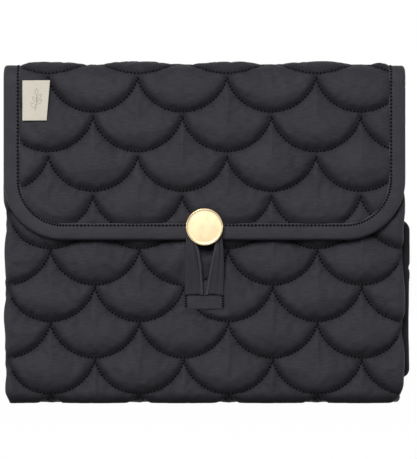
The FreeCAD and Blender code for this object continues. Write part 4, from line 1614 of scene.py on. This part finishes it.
# ==== Button ====================================================================================
# A plain round tack button in pale gold: a spun cap with a narrow raised rim and a satin face,
# on a collar riveted through the flap, with a patch of satin behind it.

CAP_SIDES = 96
cap_radius = (button_high.x - button_low.x) / 2
cap_front, cap_back = button_low.y, button_high.y
RIM_WIDTH = 0.0009
RIM_DROP = 0.0004


def turned_profile(name, profile, sides):
    """A profile of (radius, place along the axis) turned about the button's own axis; the two
    end points lie on the axis and close it."""
    profile = np.array(profile)
    inner = profile[1:-1]
    turn = np.linspace(0, 2 * math.pi, sides, endpoint=False)
    rings = np.stack([
        button_x + inner[:, 0:1] * np.cos(turn), inner[:, 1:2] + 0 * turn,
        button_z + inner[:, 0:1] * np.sin(turn),
    ], axis=-1)
    points = np.concatenate([
        [(button_x, profile[0, 1], button_z)], rings.reshape(-1, 3),
        [(button_x, profile[-1, 1], button_z)],
    ])
    numbers = 1 + np.arange(len(inner) * sides).reshape(len(inner), sides)
    wrapped = np.concatenate([numbers, numbers[:, :1]], axis=1)
    faces = grid_faces(len(inner), sides + 1, wrapped).tolist()
    last = len(points) - 1
    faces += np.stack([0 * turn.astype(int), wrapped[0, 1:], wrapped[0, :-1]], 1).tolist()
    faces += np.stack([0 * turn.astype(int) + last, wrapped[-1, :-1], wrapped[-1, 1:]], 1).tolist()
    return add_mixed(name, points, faces, points[:, [0, 2]])


edge_turn = np.linspace(0, math.pi / 2, 8)
edge_round = 0.0007
cap_profile = [(0, cap_front + RIM_DROP - 0.00012)]
cap_profile += [
    (radius * (cap_radius - RIM_WIDTH - 0.0004), cap_front + RIM_DROP - 0.00012 * (1 - radius**2))
    for radius in np.linspace(0.08, 1, 12)
]
cap_profile += [
    (cap_radius - RIM_WIDTH - 0.0001, cap_front + RIM_DROP * 0.85),
    (cap_radius - RIM_WIDTH + 0.00008, cap_front + RIM_DROP * 0.3),
    (cap_radius - RIM_WIDTH + 0.00025, cap_front + 0.00003),
]
cap_profile += [
    (cap_radius - edge_round + edge_round * math.sin(angle),
     cap_front + edge_round * (1 - math.cos(angle))) for angle in edge_turn
]
cap_profile += [
    (cap_radius, cap_back - 0.0009), (cap_radius - 0.0002, cap_back - 0.0003),
    (cap_radius - 0.0007, cap_back), (cap_radius * 0.5, cap_back), (0, cap_back),
]
button_face = turned_profile("button_disc", cap_profile, CAP_SIDES)


def polished_metal(name, colour, roughness, brushing):
    """Plated metal: one colour, with roughness that drifts in soft smears, and fine turned lines
    in the bump."""
    paint, tree, shader = new_paint(name)
    where = add_node(tree, "TexCoord").outputs["Object"]
    smears = add_node(tree, "TexNoise", {"Scale": 260.0, "Detail": 4.0, "Vector": where})
    rough = add_node(
        tree, "MapRange",
        {"To Min": roughness - 0.08, "To Max": roughness + 0.12, "Value": smears.outputs["Fac"]},
    )
    stretch = add_node(tree, "Mapping", {"Scale": (500.0, 500.0, 9000.0), "Vector": where})
    lines = add_node(
        tree, "TexNoise", {"Scale": 1.0, "Detail": 3.0, "Vector": stretch.outputs[0]}
    )
    bump = add_node(
        tree, "Bump",
        {"Strength": brushing, "Distance": 0.00005, "Height": lines.outputs["Fac"]},
    )
    set_inputs(tree, shader, {
        "Base Color": (*colour, 1), "Metallic": 1.0,
        "Roughness": rough.outputs[0], "Normal": bump.outputs[0],
    })
    return paint


pale_gold = polished_metal("pale_gold", (0.60, 0.488, 0.302), 0.3, 0.12)
button_face.data.materials.append(pale_gold)
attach(button_face, "button")
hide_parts("button_cap")
bright_steel = polished_metal("bright_steel", (0.60, 0.60, 0.61), 0.32, 0.15)
for node, paint in (("button_collar", pale_gold), ("button_rivet", bright_steel)):
    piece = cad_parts[node]
    piece.data.materials.clear()
    piece.data.materials.append(paint)

patch_low, patch_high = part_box("button_backing_patch")
patch_half = (patch_high.x - patch_low.x) / 2
patch_tall = patch_high.z - patch_low.z
patch_thick = patch_high.y - patch_low.y
PATCH_EDGE = 0.0006
PATCH_SEAM_INSET = 0.0011


def place_on_patch(across, along, depth):
    """Seen from behind: across is to the right there, along is up, depth goes forwards."""
    return np.stack([-across, patch_high.y - depth + 0 * across, patch_low.z + along], axis=-1)


across, along = np.meshgrid(
    edge_spacing(-patch_half, patch_half, 0.0005, (PATCH_EDGE, PATCH_EDGE)),
    edge_spacing(0, patch_tall, 0.0005, (PATCH_EDGE, PATCH_EDGE)),
)
body = soft_edges(across, along, patch_half, patch_tall, [PATCH_EDGE] * 3)
cloth_wave = 0.00006 * soft_noise(across, along, 0.003, 111)
backing_patch = padded_shell(
    "rivet_backing_patch", across, along,
    place_on_patch(across, along, patch_thick / 2 - (patch_thick / 2 + cloth_wave) * body),
    place_on_patch(across, along, patch_thick / 2 + patch_thick / 2 * body),
)
backing_patch.data.materials.append(binding_satin)
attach(backing_patch, "flap")
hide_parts("button_backing_patch")
seam_run = 4 * np.arange(0, 1, 0.0016 / (4 * patch_half + 2 * patch_tall))


def patch_seam(run):
    """Places round a rectangle a little inside the patch's edge, from a run of 0 to 4 sides."""
    wide, tall = patch_half - PATCH_SEAM_INSET, patch_tall / 2 - PATCH_SEAM_INSET
    side = np.floor(run % 4)
    share = 2 * (run % 1) - 1
    across = np.select([side == 0, side == 1, side == 2, side == 3],
                       [share * wide, wide + 0 * run, -share * wide, -wide + 0 * run])
    up = np.select([side == 0, side == 1, side == 2, side == 3],
                   [-tall + 0 * run, share * tall, tall + 0 * run, -share * tall])
    return across, up + patch_tall / 2


here, beyond = patch_seam(seam_run), patch_seam(seam_run + 0.004)
sewn_into(sewn(
    "patch_stitches", lambda across, along: place_on_patch(across, along, -0.00008),
    *here, *beyond, -1,
), lambda thread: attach(thread, "flap"))


# ==== Label =====================================================================================
# A short piece of cream woven tape, folded double and sewn into the flap beside the binding. It
# lies over the padding and lifts a little at its free end; a small sprig is stitched on it.

label_wide = label_high.x - label_low.x
label_tall = label_high.z - label_low.z
label_y = (label_low.y + label_high.y) / 2
LABEL_CLOTH = 0.0004
LABEL_LEAN = 0.0022


def label_face(across, along):
    """How far forward the tape stands: over the swell of the padding, then lifting at its end."""
    share = across / label_wide
    lift = 0.0021 * np.sin(np.clip(share * 1.5, 0, 1) * quarter) + 0.0010 * share**2 + 0.0003
    sway = 0.00025 * np.sin(along / label_tall * 5.2 + 0.6) * share
    return lift + sway


def place_on_label(across, along, depth):
    """Across from the sewn edge to the right, along up, depth back from the tape's middle."""
    lean = LABEL_LEAN * across / label_wide * (1 - along / label_tall)
    return np.stack([
        label_low.x + across - lean, label_y - label_face(across, along) + depth,
        label_low.z + along,
    ], axis=-1)


across, along = np.meshgrid(
    edge_spacing(0, label_wide, 0.0006, (0.0003, 0.0004)),
    edge_spacing(0, label_tall, 0.0006, (0.0003, 0.0003)),
)
body = np.minimum(
    np.minimum(rounded(across, 0.0003), rounded(label_wide - across, 0.0004)),
    np.minimum(rounded(along, 0.0003), rounded(label_tall - along, 0.0003)),
)
label_tape = padded_shell(
    "label_tape", across, along,
    place_on_label(across, along, -LABEL_CLOTH * body),
    place_on_label(across, along, LABEL_CLOTH * body),
)
label_cotton = fabric("label_cotton", (0.74, 0.70, 0.60), (0.64, 0.60, 0.51), 0.85, 0.0006, 0.35)
label_tape.data.materials.append(label_cotton)
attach(label_tape, "label")
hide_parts("label_ribbon")

SPRIG_THREAD = 0.00014
thread_grey = plain_matt("thread_warm_grey", (0.36, 0.33, 0.28), 0.8)


def sprig_leaf(root, angle, length):
    """A leaf outline: out along an angle, its two sides swelling as half a sine wave."""
    share = np.linspace(0, 1, 15)
    out = share * length
    swell = 0.24 * length * np.sin(math.pi * share)
    sides = [np.stack([out, sign * swell], axis=1) for sign in (1, -1)]
    outline = np.concatenate([sides[0], sides[1][::-1]])
    turn = np.array([[math.cos(angle), math.sin(angle)], [-math.sin(angle), math.cos(angle)]])
    return np.array(root) + outline @ turn


stem_share = np.linspace(0, 1, 24)
stem = np.stack([
    0.0090 + 0.0011 * np.sin(2.4 * stem_share), 0.0060 + 0.0105 * stem_share
], axis=1)
lines = [stem]
for place, side in ((0.22, -1), (0.42, 1), (0.60, -1), (0.80, 1)):
    root = stem[round(place * (len(stem) - 1))]
    lines.append(sprig_leaf(root, quarter - side * 0.85, 0.0046 * (1.15 - 0.35 * place)))
lines.append(sprig_leaf(stem[-1], quarter + 0.1, 0.0042))
starts = np.concatenate([line[:-1] for line in lines])
ends = np.concatenate([line[1:] for line in lines])
start_points = place_on_label(starts[:, 0], starts[:, 1], -LABEL_CLOTH)
end_points = place_on_label(ends[:, 0], ends[:, 1], -LABEL_CLOTH)
long_enough = np.linalg.norm(end_points - start_points, axis=1) > 1e-6
start_points, end_points = start_points[long_enough], end_points[long_enough]
sprig = scatter(
    "label_sprig", bead(SPRIG_THREAD, 0.0007, 5, 2), (start_points + end_points) / 2,
    unit(end_points - start_points), np.zeros_like(start_points) + (0, -1, 0), thread_grey,
)
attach(sprig, "label")
